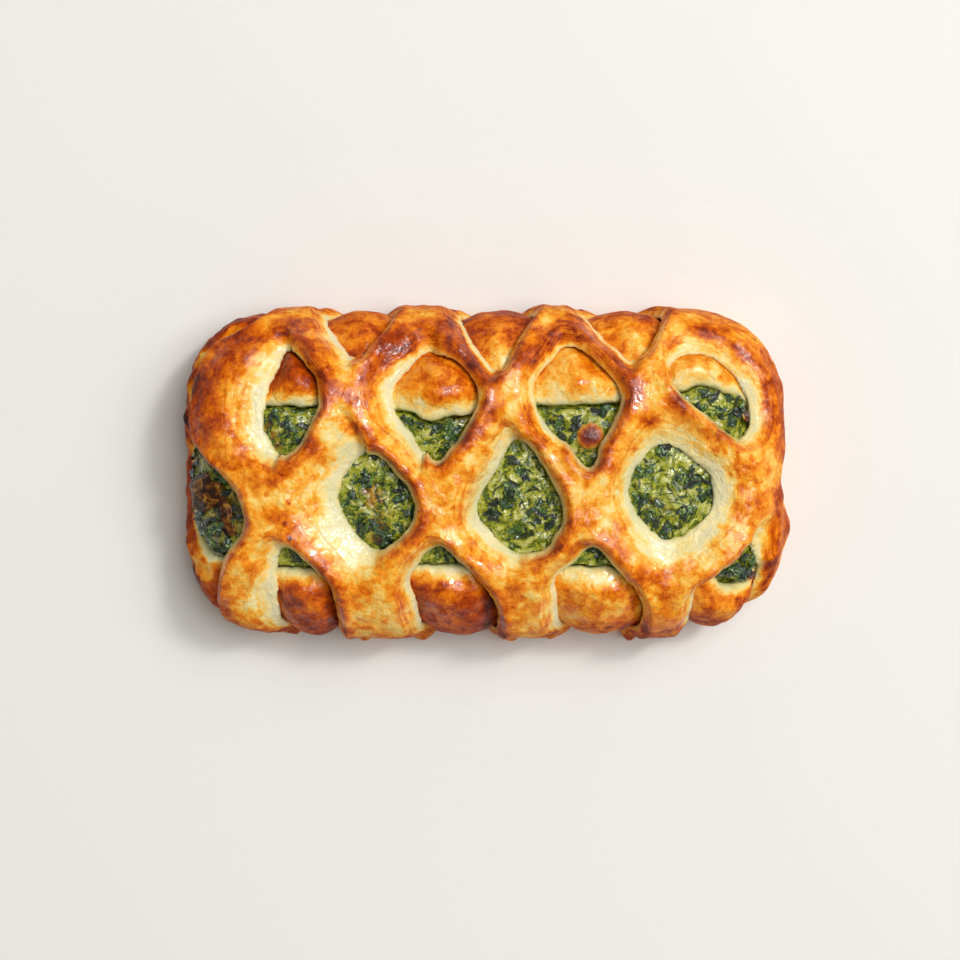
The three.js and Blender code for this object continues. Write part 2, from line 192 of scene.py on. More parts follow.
# The case's own opening along the top, between the edges of its two folded flaps
SLOT_OUTLINE = [
    (-55, 17.2), (-35, 17.8), (-22, 16.4), (-11, 14.8), (0, 16.2), (12, 18), (35, 18.4), (45, 21.2),
    (58, 21.8), (66, 18), (69.5, 8), (70, -8), (71, -20), (66, -27.4), (60, -27.4), (53, -23), (40, -21.4),
    (25, -21.8), (10, -22), (-8, -21.2), (-25, -21.6), (-40, -21.4), (-53, -22), (-60, -21), (-68, -19),
    (-76, -13), (-80.5, -5), (-79.5, 3), (-74, 9), (-65, 13),
]


# ---------------------------------------- small helpers

def smooth(value, low, high):
    """0 below low, 1 above high and smooth between them."""
    share = np.clip((value - low) / (high - low), 0, 1)
    return share * share * (3 - 2 * share)


def blend(first, second, share):
    return first + (second - first) * share


def smooth_max(first, second, reach):
    """The larger of two fields, rounded where they meet within reach."""
    overlap = np.maximum(reach - np.abs(first - second), 0) / reach
    return np.maximum(first, second) + overlap * overlap * reach * 0.25


def hashed(x, y, z, seed):
    """A well mixed whole number for each cell of a grid; the factors are large odd numbers."""
    mixed = (x * np.uint32(374761393) + y * np.uint32(668265263) + z * np.uint32(2246822519)
             + np.uint32((seed * 3266489917) % 2 ** 32))
    mixed = (mixed ^ (mixed >> np.uint32(15))) * np.uint32(2246822519)
    mixed = (mixed ^ (mixed >> np.uint32(13))) * np.uint32(3266489917)
    return mixed ^ (mixed >> np.uint32(16))


def gradient_noise(places, seed):
    """Perlin noise of about -1 to 1 for places of shape (..., 3)."""
    floor = np.floor(places)
    part = (places - floor).astype(np.float32)
    cell = floor.astype(np.int64).astype(np.uint32)
    fade = part * part * part * (part * (part * 6 - 15) + 10)
    total = np.zeros(places.shape[:-1], np.float32)
    for corner in range(8):
        step = np.array([corner & 1, corner >> 1 & 1, corner >> 2 & 1], np.uint32)
        spot = cell + step
        mixed = hashed(spot[..., 0], spot[..., 1], spot[..., 2], seed)
        away = part - step.astype(np.float32)
        slope = sum(away[..., axis] * ((mixed >> np.uint32(10 * axis) & np.uint32(1023)) / 511.5 - 1)
                    for axis in range(3))
        weight = np.ones_like(total)
        for axis in range(3):
            weight = weight * (fade[..., axis] if step[axis] else 1 - fade[..., axis])
        total += (weight * slope).astype(np.float32)
    return total * 1.6


def noise(places, size, seed, octaves=1, keep=0.5):
    """Layered noise whose largest bumps are of the given size."""
    places = np.asarray(places, float)
    if places.shape[-1] == 2:
        places = np.concatenate([places, np.full(places.shape[:-1] + (1,), 0.37 * seed)], -1)
    total = 0
    strength = 1.0
    for octave in range(octaves):
        total = total + strength * gradient_noise(places / size + 17.3 * octave, seed + 31 * octave)
        strength *= keep
        size *= 0.5
    return total


# ---------------------------------------- the loaf's skin

def loaf_terms(place):
    x, y, height = np.abs(place[..., 0]), np.abs(place[..., 1]), place[..., 2]
    tall = np.where(height >= 0, (np.abs(height) / CROWN) ** TOP_POWER,
                    (np.abs(height) / KEEL) ** KEEL_POWER)
    return (x / LOAF_HALF[0]) ** END_POWER + (y / LOAF_HALF[1]) ** SIDE_POWER + tall


def loaf_slope(place):
    x, y, z = place[..., 0], place[..., 1], place[..., 2]
    tall = np.where(z >= 0, TOP_POWER * (np.abs(z) / CROWN) ** (TOP_POWER - 1) / CROWN,
                    -KEEL_POWER * (np.abs(z) / KEEL) ** (KEEL_POWER - 1) / KEEL)
    return np.stack([np.sign(x) * END_POWER * (np.abs(x) / LOAF_HALF[0]) ** (END_POWER - 1) / LOAF_HALF[0],
                     np.sign(y) * SIDE_POWER * (np.abs(y) / LOAF_HALF[1]) ** (SIDE_POWER - 1) / LOAF_HALF[1],
                     tall], -1)


def on_skin(place, turns=8):
    """Scales places, measured from the loaf's centre, until they lie on its skin."""
    x, y, z = (np.abs(place[..., axis]) for axis in range(3))
    tall = z / np.where(place[..., 2] >= 0, CROWN, KEEL)
    size = np.maximum(np.maximum(x / LOAF_HALF[0], y / LOAF_HALF[1]), tall)
    scale = 1 / np.maximum(size, 1e-6)
    for _ in range(turns):
        now = place * scale[..., None]
        scale = scale - (loaf_terms(now) - 1) / (loaf_slope(now) * place).sum(-1)
    return place * scale[..., None]


def unit(vectors):
    return vectors / np.maximum(np.linalg.norm(vectors, axis=-1, keepdims=True), 1e-12)


def nearest_skin(place):
    """Nearest place on the skin and the height above it."""
    foot = on_skin(place, 10)
    for _ in range(5):
        normal = unit(loaf_slope(foot))
        height = ((place - foot) * normal).sum(-1, keepdims=True)
        foot = on_skin(foot + (place - foot) - height * normal, 5)
    normal = unit(loaf_slope(foot))
    return foot, ((place - foot) * normal).sum(-1), normal


GIRTH_ANGLES = np.linspace(0, math.pi * 0.98, 241)
GIRTH = on_skin(np.stack([0 * GIRTH_ANGLES, np.sin(GIRTH_ANGLES), np.cos(GIRTH_ANGLES)], -1), 14)
GIRTH_LENGTH = np.r_[0, np.cumsum(np.linalg.norm(np.diff(GIRTH, axis=0), axis=1))]


def extra_girth(height):
    """How much longer the way over the skin is than the way in plan."""
    return np.interp(-height, -GIRTH[:, 2], GIRTH_LENGTH - GIRTH[:, 1])


def over_skin(foot, normal):
    """Place on the skin to (along, across)."""
    flat = np.hypot(normal[..., 0], normal[..., 1]) + 1e-9
    extra = extra_girth(foot[..., 2])
    return np.stack([foot[..., 0] + normal[..., 0] / flat * extra,
                     foot[..., 1] + normal[..., 1] / flat * extra], -1)


def skin_place(spots, turns=40):
    """(along, across) to a place on the skin, by steps over it."""
    start = np.concatenate([spots * [0.8, 0.6], np.full(spots.shape[:-1] + (1,), CROWN * 0.8)], -1)
    place = on_skin(start)
    for _ in range(turns):
        normal = unit(loaf_slope(place))
        missing = spots - over_skin(place, normal)
        flat = np.hypot(normal[..., 0], normal[..., 1])[..., None] + 1e-9
        fall = normal[..., :2] / flat
        down = (missing * fall).sum(-1, keepdims=True)
        aside = missing - down * fall
        move = np.concatenate([fall * normal[..., 2:] * down + aside, -flat * down], -1)
        place = on_skin(place + 0.8 * move, 6)
    return place


# ---------------------------------------- flat maps over the skin

MAP_LOW = np.array([-112.0, -84.0])
MAP_SHAPE = (561, 421)
MAP_SPOTS = np.stack(np.meshgrid(MAP_LOW[0] + MAP_STEP * np.arange(MAP_SHAPE[0]),
                                 MAP_LOW[1] + MAP_STEP * np.arange(MAP_SHAPE[1]), indexing="ij"), -1)


def sample_grid(values, at):
    """Value of a flat grid at any place, between its points."""
    at = np.clip(at, 0, np.array(values.shape[:2]) - 1.001)
    low = at.astype(int)
    part = at - low
    i, j = low[..., 0], low[..., 1]
    u, v = part[..., 0], part[..., 1]
    if values.ndim == 3:
        u, v = u[..., None], v[..., None]
    return ((values[i, j] * (1 - u) + values[i + 1, j] * u) * (1 - v)
            + (values[i, j + 1] * (1 - u) + values[i + 1, j + 1] * u) * v)


def sample_map(values, spots):
    """Value of a flat map at any (along, across)."""
    return sample_grid(values, (spots - MAP_LOW) / MAP_STEP)


def rounded_loop(points, steps=8):
    """Closed smooth curve through the points."""
    points = np.array(points, float)
    before, after, further = (np.roll(points, shift, axis=0) for shift in (1, -1, -2))
    share = (np.arange(steps) / steps)[None, :, None]
    p0, p1, p2, p3 = (p[:, None] for p in (before, points, after, further))
    curve = 0.5 * (2 * p1 + (p2 - p0) * share + (2 * p0 - 5 * p1 + 4 * p2 - p3) * share ** 2
                   + (3 * p1 - p0 - 3 * p2 + p3) * share ** 3)
    return curve.reshape(-1, 2)


def distance_to_loop(spots, loop):
    """Distance to a closed curve, below 0 inside it."""
    nearest = np.full(spots.shape[:-1], 1e9)
    crossings = np.zeros(spots.shape[:-1], int)
    x, y = spots[..., 0], spots[..., 1]
    for start, end in zip(loop, np.roll(loop, -1, axis=0)):
        edge = end - start
        share = np.clip(((x - start[0]) * edge[0] + (y - start[1]) * edge[1]) / (edge @ edge + 1e-12), 0, 1)
        gap = (x - start[0] - share * edge[0]) ** 2 + (y - start[1] - share * edge[1]) ** 2
        nearest = np.minimum(nearest, gap)
        spans = (start[1] > y) != (end[1] > y)
        if abs(edge[1]) > 1e-9:
            crossings += spans & (x < start[0] + edge[0] * (y - start[1]) / edge[1])
    return np.sqrt(nearest) * np.where(crossings % 2, -1, 1)


def around(table, degrees):
    """Periodic table of (angle, value) read at any angle."""
    angles = np.array([row[0] for row in table], float)
    values = np.array([row[1] for row in table], float)
    order = np.argsort(angles % 360)
    return np.interp(degrees % 360, (angles % 360)[order], values[order], period=360)


def strokes(spots, table):
    """Soft strokes, each from one place to another (along, across, along, across, half width, amount)."""
    total = np.zeros(spots.shape[:-1])
    for from_along, from_across, to_along, to_across, reach, amount in table:
        way = np.array([to_along - from_along, to_across - from_across], float)
        away = spots - [from_along, from_across]
        share = np.clip((away @ way) / max(way @ way, 1e-9), 0, 1)
        gap = np.linalg.norm(away - share[..., None] * way, axis=-1) / reach
        total = total + amount * (1 - smooth(gap, 0.15, 1.0))
    return total


STRIP_REACH = 22.0  # how far round an opening its strips can reach


def opening_maps():
    """Maps over all openings.

    Edge is the distance to the nearest outline and rise the share of the way up its dip. Lip is 1 where the
    edge is sharp, flow holds the direction from the nearest opening's middle and that share again, and
    depths holds each opening's own distances.
    """
    wobble = (0.45 * noise(MAP_SPOTS, 5.0, 3) + 0.2 * noise(MAP_SPOTS, 1.8, 4))
    edge = np.full(MAP_SHAPE, STRIP_REACH)
    rise = np.ones(MAP_SHAPE)
    lip = np.zeros(MAP_SHAPE)
    flow = np.zeros(MAP_SHAPE + (3,))
    depths = {}
    for name, opening in OPENINGS.items():
        loop = rounded_loop(opening["outline"])
        low = np.maximum(((loop.min(0) - STRIP_REACH - MAP_LOW) / MAP_STEP).astype(int), 0)
        high = np.minimum(((loop.max(0) + STRIP_REACH - MAP_LOW) / MAP_STEP).astype(int) + 1, MAP_SHAPE)
        part = (slice(low[0], high[0]), slice(low[1], high[1]))
        spots = MAP_SPOTS[part]
        gap = distance_to_loop(spots, loop) + wobble[part]
        away = spots - np.array(opening["middle"])
        angle = np.degrees(np.arctan2(away[..., 1], away[..., 0]))
        width = around(opening["dip"], angle)
        flank = smooth(width, LIP_WIDTH, FLANK_WIDTH)
        start = blend(LIP_LOW, FLANK_LOW, flank)
        share = np.clip(gap / width, 0, 1)
        climb = blend(share * (2 - share), smooth(share, 0, 1) * 0.7 + share * (2 - share) * 0.3, flank)
        bead = 0.09 * (1 - flank) * np.exp(-((gap - 1.5) / 1.2) ** 2)
        rise[part] *= start + (1 - start) * climb + bead
        lip[part] = np.maximum(lip[part], (1 - flank) * (1 - smooth(gap, 0.5, 5.0)) * (gap > -3))
        closer = gap < edge[part]
        heading = away / (np.linalg.norm(away, axis=-1, keepdims=True) + 1e-6)
        turn = np.concatenate([heading, share[..., None]], -1)
        flow[part] = np.where(closer[..., None], turn, flow[part])
        edge[part] = np.minimum(edge[part], gap)
        depths[name] = (part, gap)
    return edge, rise, lip, flow, depths


EDGE, RISE, LIP, FLOW, DEPTHS = opening_maps()
SLOT_GAP = (distance_to_loop(MAP_SPOTS, rounded_loop(SLOT_OUTLINE)) + 1.1 * noise(MAP_SPOTS, 7.0, 11, 2)
            + 0.4 * noise(MAP_SPOTS, 2.2, 12))


# How high the case puffs up in each kind of opening, by the first letter of its name
PILLOW_SHARES = {"a": 1.0, "b": 0.8, "c": 0.88, "z": 0.66, "l": 0.9, "f": 0.45}
LEFT_END_REACH = 7.0  # how far in from the left end's edge its pillow still rises
# Strokes (along, across, along, across, half width, depth)
CASE_GROOVES = [
    (-62, 37, -70, 29, 2.6, 1.6), (-72, 24, -78, 16, 2.4, 1.0), (-70, 40, -76, 34, 2.4, 0.9),
    (-78, 8, -86, 4, 2.4, 0.9), (-68, -24, -80, -22, 2.6, 1.0), (-66, -40, -78, -44, 2.6, 0.9),
]


def case_top_map():
    """Height of the case over the skin: pillows in the openings, a rolled edge at the slot, a lumpy end."""
    rise = np.zeros(MAP_SHAPE)
    for name, (part, gap) in DEPTHS.items():
        if name in ("b1", "b2", "b3"):
            continue
        deepest = LEFT_END_REACH if name == "left_end" else max(-gap.min(), 4.0)
        inward = np.clip(-gap / deepest, 0, 1)
        dome = 1 - (1 - inward) ** 2.2
        rise[part] = np.maximum(rise[part], PILLOW_SHARES[name[0]] * dome)
    from_slot = smooth(SLOT_GAP, -0.5, 6.0)
    lumps = 0.45 * noise(MAP_SPOTS, 7.0, 21, 2) + 0.16 * noise(MAP_SPOTS, 2.2, 23, 2)
    end_lumps = 1.1 * np.abs(noise(MAP_SPOTS, 9.0, 25, 2)) * smooth(-MAP_SPOTS[..., 0], 58, 72)
    relief = (lumps + end_lumps) * smooth(-EDGE, -0.5, 2.5) * blend(0.4, 1, from_slot)
    return PILLOW_RISE * rise * blend(0.14, 1, from_slot) + relief - strokes(MAP_SPOTS, CASE_GROOVES)


CASE_TOP = case_top_map()


def filling_relief_map():
    """Folded, swirling relief of the cooked leaves and curds, -1 to 1."""
    bend = np.stack([noise(MAP_SPOTS, 4.0, 45), noise(MAP_SPOTS, 4.0, 46)], -1)
    spots = MAP_SPOTS + 2.0 * bend
    folds = 1 - 2.6 * np.abs(noise(spots, 3.6, 47, 2, 0.5))
    small = 1 - 2.6 * np.abs(noise(spots, 1.7, 48))
    return np.clip(0.62 * folds + 0.38 * small, -1, 1)


# Clusters of dark leaf: (along, across, radius, how many shreds)
SHRED_CLUSTERS = [
    (-27, 0, 2.8, 8), (-28.5, -11, 3.4, 10), (-19.5, -4, 2.6, 7), (-26, 6, 2, 4), (-22, -13, 3, 4),
    (-31.5, -4, 1.6, 3), (-24, -16, 2.4, 4), (-18, -9, 1.6, 3), (7, 4.3, 1.5, 4), (10, 1, 1.6, 4),
    (7, -3, 2.8, 8), (13, -7.5, 3, 9), (2, -9, 2.4, 7), (16.5, -10, 1.8, 4), (10, -13, 2.6, 3),
    (5, -6, 1.6, 3), (43, 6, 2.6, 6), (39.5, 2.4, 2, 5), (50, 0, 3.8, 11), (53, -4, 2.4, 6),
    (37.6, -4.4, 2.6, 6), (40.6, -9, 3, 8), (48.7, -8.5, 2.6, 6), (45, -12.6, 2.6, 5), (61, -23, 3.4, 11),
    (66, -24, 3, 8), (65, -20, 2, 4), (57, -23, 2.2, 5), (-49.5, 15.5, 2.4, 6), (-46, 12.5, 2.8, 6),
    (-47, 18, 3, 4), (-44, 8, 2, 3), (-8, 11, 3.4, 8), (-13, 13, 3, 4), (-18, 14, 2, 3), (-8, 6, 2, 3),
    (27, 16, 2.4, 4), (17, 14, 2.6, 4), (22, 12, 2.4, 7), (19, 10, 2, 4), (58.8, 14.7, 2.8, 8),
    (54, 20, 3, 4), (60, 20, 2.6, 5), (63, 17, 1.8, 3), (51, 16.5, 2, 3), (-66, 5, 3.6, 8), (-62, 0, 4, 10),
    (-66, -13, 4, 8), (-60, -9, 3, 4), (-73, -3, 3, 5), (-71, -11, 3, 5), (-66, -17, 3, 9), (-71, -14, 3, 9),
    (-62, -17.5, 2.4, 6), (-75, 6, 2.6, 8), (-71, 9, 2.6, 6), (-76, 0, 2.4, 5), (-58, -15, 2.4, 3),
    (-46, -18.5, 2.6, 5), (-40, -20, 2, 3), (-8, -18, 3.4, 7), (-2, -20, 2, 3), (28, -18, 3, 7),
    (33, -20, 2, 3),
]


def filling_leaf_and_edge_shade_map():
    """Where the filling is dark: leaf clusters, and dark leaf with painted shade along the case's edges."""
    ragged = 0.5 * noise(MAP_SPOTS, 2.0, 49, 2)
    # A patchy band just inside the slot's edge, where the filling meets the case: dark leaf and painted shade in
    # that crevice.
    total = 0.9 * smooth(-np.abs(SLOT_GAP + 0.7), -1.0, 0) * smooth(noise(MAP_SPOTS, 6.0, 44), -0.2, 0.3)
    for along, across, reach, _ in SHRED_CLUSTERS:
        gap = np.hypot(MAP_SPOTS[..., 0] - along, MAP_SPOTS[..., 1] - across) / reach
        total = np.maximum(total, 1 - smooth(gap + ragged, 0.35, 0.85))
    return total


FILLING_RELIEF = filling_relief_map()
FILLING_LEAF_AND_EDGE_SHADE = filling_leaf_and_edge_shade_map()


def filling_top_map():
    """Height of the filling over the skin, in the slot."""
    mound = np.zeros(MAP_SHAPE)
    for name, (part, gap) in DEPTHS.items():
        if name[0] in "abc":
            inward = np.clip(-gap / 5.0, 0, 1)
            mound[part] = np.maximum(mound[part], inward * (2 - inward))
    spill = smooth(-MAP_SPOTS[..., 0], 55, 66) * smooth(-SLOT_GAP, 0, 4)
    lumps = 0.45 * noise(MAP_SPOTS, 6.0, 41) + 0.6 * FILLING_RELIEF + 0.3 * FILLING_LEAF_AND_EDGE_SHADE
    return -0.1 + 0.6 * mound + 1.1 * spill + lumps * blend(0.6, 1, np.maximum(mound, spill))


FILLING_TOP = filling_top_map()
UNDER = np.where(SLOT_GAP < 0, np.maximum(FILLING_TOP, -0.4), np.maximum(CASE_TOP, 0)) + 0.05


# ---------------------------------------- solids in space

SPACE_LOW = np.array([-78.0, -45.0, -2.4])
SPACE_HIGH = np.array([78.0, 45.0, 40.0])


def grid_places(step):
    counts = np.round((SPACE_HIGH - SPACE_LOW) / step).astype(int) + 1
    axes = [SPACE_LOW[axis] + step * np.arange(counts[axis]) for axis in range(3)]
    return np.stack(np.meshgrid(*axes, indexing="ij"), -1)


def coarse_skin():
    """(along, across, out, and the normal) on a coarse grid in space."""
    places = grid_places(COARSE_STEP)
    foot, out, normal = nearest_skin(places - LOAF_CENTRE)
    return np.concatenate([over_skin(foot, normal), out[..., None], normal], -1)


COARSE = coarse_skin()


def sample_space(values, places, low, step):
    """Value of a field in space at any place, between its grid's points."""
    at = np.clip((places - low) / step, 0, np.array(values.shape[:3]) - 1.001)
    cell = at.astype(np.int32)
    part = at - cell
    total = 0
    for corner in range(8):
        step_to = [corner & 1, corner >> 1 & 1, corner >> 2 & 1]
        weight = 1
        for axis in range(3):
            weight = weight * (part[..., axis] if step_to[axis] else 1 - part[..., axis])
        found = values[cell[..., 0] + step_to[0], cell[..., 1] + step_to[1], cell[..., 2] + step_to[2]]
        total = total + found * (weight[..., None] if values.ndim == 4 else weight)
    return total


def skin_at(places):
    """Skin coordinates of places in space: (along, across), out, normal."""
    found = sample_space(COARSE, places, SPACE_LOW, COARSE_STEP)
    return found[..., :2], found[..., 2], unit(found[..., 3:])


def surface_net(field, low, step):
    """Quads over the zero surface of a field that is below 0 inside."""
    shape = np.array(field.shape) - 1
    sums = np.zeros((int(shape.prod()), 3))
    counts = np.zeros(int(shape.prod()))
    edges = []
    for axis in range(3):
        near = field[tuple(slice(0, -1) if a == axis else slice(None) for a in range(3))]
        far = field[tuple(slice(1, None) if a == axis else slice(None) for a in range(3))]
        crossing = np.argwhere((near < 0) != (far < 0))
        a, b = near[tuple(crossing.T)], far[tuple(crossing.T)]
        spot = crossing.astype(float)
        spot[:, axis] += a / (a - b)
        others = [other for other in range(3) if other != axis]
        keep = np.all((crossing[:, others] > 0) & (crossing[:, others] < shape[others]), axis=1)
        crossing, spot, a = crossing[keep], spot[keep], a[keep]
        corners = []
        for first, second in ((0, 0), (1, 0), (1, 1), (0, 1)):
            cell = crossing.copy()
            cell[:, others[0]] -= first
            cell[:, others[1]] -= second
            index = np.ravel_multi_index(cell.T, shape)
            corners.append(index)
            counts += np.bincount(index, minlength=len(counts))
            for part in range(3):
                sums[:, part] += np.bincount(index, weights=spot[:, part], minlength=len(counts))
        quads = np.stack(corners, 1)
        outward = (a < 0) ^ (axis == 1)
        quads[~outward] = quads[~outward][:, ::-1]
        edges.append(quads)
    used = counts > 0
    number = np.cumsum(used) - 1
    vertices = low + step * sums[used] / counts[used][:, None]
    return vertices, number[np.concatenate(edges)]


def largest_part(vertices, quads):
    """Leaves out the loose crumbs of a meshed field."""
    label = np.arange(len(vertices))
    pairs = np.concatenate([quads[:, [0, 1]], quads[:, [1, 2]], quads[:, [2, 3]]])
    while True:
        least = np.minimum(label[pairs[:, 0]], label[pairs[:, 1]])
        new = label.copy()
        np.minimum.at(new, label[pairs[:, 0]], least)
        np.minimum.at(new, label[pairs[:, 1]], least)
        new = new[new]
        if np.array_equal(new, label):
            break
        label = new
    keep = label == np.bincount(label).argmax()
    number = np.cumsum(keep) - 1
    return vertices[keep], number[quads[keep[quads[:, 0]]]]


def settle(vertices, field, low, step, turns=3):
    """Moves vertices onto the zero surface of their field."""
    slope = np.stack(np.gradient(field, step), -1)
    for _ in range(turns):
        value = sample_space(field, vertices, low, step)
        way = sample_space(slope, vertices, low, step)
        move = value[:, None] * way / np.maximum((way ** 2).sum(-1, keepdims=True), 0.2)
        vertices = vertices - np.clip(move, -0.4 * step, 0.4 * step)
    return vertices


def lattice_ridge(up):
    return blend(FLANK_RIDGE, STRIP_RIDGE, np.clip(up, 0, 1))


def swell_map(table):
    """Soft humps and hollows, each (along, across, radius, height)."""
    total = np.zeros(MAP_SHAPE)
    for along, across, radius, height in table:
        gap = np.hypot(MAP_SPOTS[..., 0] - along, MAP_SPOTS[..., 1] - across) / radius
        total = total + height * np.exp(-2.5 * gap ** 2)
    return total


LATTICE_SWELLS = [
    (84, -15, 9, 2.4), (82, -26, 9, 1.2), (80, -1, 8, -1.8), (80, 20, 10, 0.8), (72, -40, 8, -0.8),
    (-48, -54, 5, 1.6), (-30, -54, 4, 2.6), (-15, -54, 5, 2.0), (7, -54, 4, 2.4), (17, -54, 4, 2.0),
    (36, -54, 5, 2.4), (48, -54, 5, 2.2),
]
LATTICE_TEARS = [
    (53.4, 8.2, 57.2, 13.4, 1.0, 1.3), (-31.5, 12.6, -34.5, 16.5, 1.2, 0.7),
    (56, -20.4, 59.4, -24, 1.0, 0.8),
]
LATTICE_WAVES = (smooth(EDGE, 0, 5)
                 * (0.5 * noise(MAP_SPOTS, 8.0, 51, 2) + 0.13 * noise(MAP_SPOTS, 2.6, 53, 2))
                 + swell_map(LATTICE_SWELLS) - strokes(MAP_SPOTS, LATTICE_TEARS))


def lattice_top(spots, up):
    return lattice_ridge(up) * sample_map(RISE, spots) + sample_map(LATTICE_WAVES, spots)


def lattice_field(places):
    spots, out, normal = skin_at(places)
    top = lattice_top(spots, normal[..., 2])
    under = sample_map(UNDER, spots)
    lift = sample_map(LIP, spots)
    bottom = np.minimum(blend(under, np.maximum(top - LIP_THICKNESS, under), lift), top - LEAST_SHEET)
    sheet = smooth_max(out - top, bottom - out, 0.5)
    slant = WALL_SLANT * np.clip(top - out, 0, LIP_THICKNESS)
    sheet = smooth_max(sheet, -sample_map(EDGE, spots) - slant, 1.0)
    return np.maximum(sheet, 0.02 - places[..., 2])


def case_field(places):
    spots, out, _ = skin_at(places)
    outside = smooth_max(out - sample_map(CASE_TOP, spots), 0.0 - places[..., 2], 1.2)
    hollow = np.maximum(out + CASE_WALL, CASE_WALL - places[..., 2])
    solid = np.maximum(outside, -hollow)
    slot = np.maximum(sample_map(SLOT_GAP, spots), -CASE_WALL - 5 - out)
    return smooth_max(solid, -slot, 1.1)


def meshed(field_of, near, step):
    """Meshes a solid field in space, worked out only where near says so, from a height over the skin."""
    places = grid_places(step)
    out = sample_space(COARSE[..., 2], places, SPACE_LOW, COARSE_STEP)
    asked = near(out, places[..., 2])
    field = np.full(out.shape, 2 * step)
    field[asked] = field_of(places[asked])
    for axis in range(3):
        for end in (0, -1):
            field[tuple(end if a == axis else slice(None) for a in range(3))] = step
    vertices, quads = largest_part(*surface_net(field, SPACE_LOW, step))
    return settle(vertices, field, SPACE_LOW, step), quads


# ---------------------------------------- Blender objects

def make_object(name, vertices, faces, attributes, material):
    """A smooth-shaded mesh from places in millimetres."""
    mesh = bpy.data.meshes.new(name)
    mesh.from_pydata((np.asarray(vertices) * MM).tolist(), [], np.asarray(faces).tolist())
    mesh.update()
    mesh.shade_smooth()
    for key, values in attributes.items():
        values = np.asarray(values, np.float32)
        kind = "FLOAT_VECTOR" if values.ndim == 2 else "FLOAT"
        layer = mesh.attributes.new(key, kind, "POINT")
        layer.data.foreach_set("vector" if values.ndim == 2 else "value", values.ravel())
    mesh.materials.append(material)
    made = bpy.data.objects.new(name, mesh)
    bpy.context.scene.collection.objects.link(made)
    return made


def colour(code):
    """Hex colour as shown on a screen to linear light."""
    parts = [int(code[start:start + 2], 16) / 255 for start in (1, 3, 5)]
    return tuple(p / 12.92 if p <= 0.04045 else ((p + 0.055) / 1.055) ** 2.4 for p in parts) + (1.0,)


class Surface:
    """A procedural material, built node by node."""

    def __init__(self, name):
        self.material = bpy.data.materials.new(name)
        self.material.use_nodes = True
        self.tree = self.material.node_tree
        self.tree.nodes.clear()
        self.shader = self.tree.nodes.new("ShaderNodeBsdfPrincipled")
        output = self.tree.nodes.new("ShaderNodeOutputMaterial")
        self.tree.links.new(self.shader.outputs[0], output.inputs[0])

    def put(self, node, key, value):
        if isinstance(value, bpy.types.NodeSocket):
            self.tree.links.new(value, node.inputs[key])
        else:
            node.inputs[key].default_value = value

    def set(self, key, value):
        self.put(self.shader, key, value)

    def add(self, kind, inputs, output=0, **settings):
        """Adds a node and gives one of its outputs."""
        node = self.tree.nodes.new("ShaderNode" + kind)
        for key, value in settings.items():
            setattr(node, key, value)
        for key, value in inputs.items():
            self.put(node, key, value)
        return node.outputs[output]

    def math(self, operation, first, second, clamp=False):
        return self.add("Math", {0: first, 1: second}, operation=operation, use_clamp=clamp)

    def times(self, first, second):
        return self.math("MULTIPLY", first, second)

    def plus(self, *values):
        total = values[0]
        for value in values[1:]:
            total = self.math("ADD", total, value)
        return total

    def attribute(self, name, output="Fac"):
        return self.add("Attribute", {}, output, attribute_name=name)

    def place(self):
        return self.add("TexCoord", {}, "Object")

    def scaled(self, vector, scale):
        return self.add("VectorMath", {0: vector, 1: scale}, operation="MULTIPLY")

    def noise(self, vector, size, detail=2.0, roughness=0.5, distortion=0.0):
        """Noise with bumps of the given size, in the vector's own unit."""
        inputs = {"Vector": vector, "Scale": 1 / size, "Detail": detail, "Roughness": roughness,
                  "Distortion": distortion}
        return self.add("TexNoise", inputs, "Fac")

    def remap(self, value, low, high, new_low=0.0, new_high=1.0):
        inputs = {"Value": value, "From Min": low, "From Max": high, "To Min": new_low, "To Max": new_high}
        return self.add("MapRange", inputs, interpolation_type="SMOOTHSTEP")

    def ramp(self, value, stops):
        node = self.tree.nodes.new("ShaderNodeValToRGB")
        self.put(node, 0, value)
        elements = node.color_ramp.elements
        while len(elements) < len(stops):
            elements.new(1.0)
        for element, (position, code) in zip(elements, stops):
            element.position = position
            element.color = colour(code)
        return node.outputs[0]

    def mix(self, share, first, second):
        return self.add("Mix", {0: share, 6: first, 7: second}, 2, data_type="RGBA")

    def bump(self, height, distance, strength=1.0, under=None):
        """A bumped normal, over another one if given."""
        inputs = {"Height": height, "Distance": distance, "Strength": strength}
        if under is not None:
            inputs["Normal"] = under
        return self.add("Bump", inputs)


# ---------------------------------------- materials

BAKE_COLOURS = [
    (0.00, "#e6dcb2"), (0.12, "#f4e2a6"), (0.24, "#fcd272"), (0.36, "#f9b43e"), (0.48, "#ef8f18"),
    (0.60, "#d96c06"), (0.72, "#b44702"), (0.83, "#882b04"), (0.92, "#5c1c09"), (1.00, "#2a0f0e"),
]

SOAKED_COLOUR = "#cfd096"
LAYER_COLOURS = ("#efc98a", "#cf9247")
FILLING_COLOURS = [
    (0.0, "#0c1714"), (0.12, "#1b3120"), (0.24, "#35531c"), (0.38, "#6c8016"), (0.52, "#9aa01a"),
    (0.66, "#b5b628"), (0.8, "#c6c845"), (1.0, "#e4e2a8"),
]
TOASTED_COLOURS = [(0.2, "#2a1609"), (0.38, "#6e4210"), (0.55, "#a87412"), (0.75, "#cda032")]
LEAF_COLOURS = [(0.1, "#0a1513"), (0.35, "#152c22"), (0.6, "#285024"), (0.78, "#527c26"), (1.0, "#93a936")]
CHEESE_COLOURS = [
    (0.0, "#4a0f06"), (0.45, "#701a07"), (0.66, "#9d3a0a"), (0.84, "#c97a1c"), (1.0, "#c3a444"),
]
BURNT_COLOURS = [
    (0.05, "#160b08"), (0.3, "#3d1d0b"), (0.55, "#5f350d"), (0.75, "#7c5213"), (0.95, "#a8792a"),
]


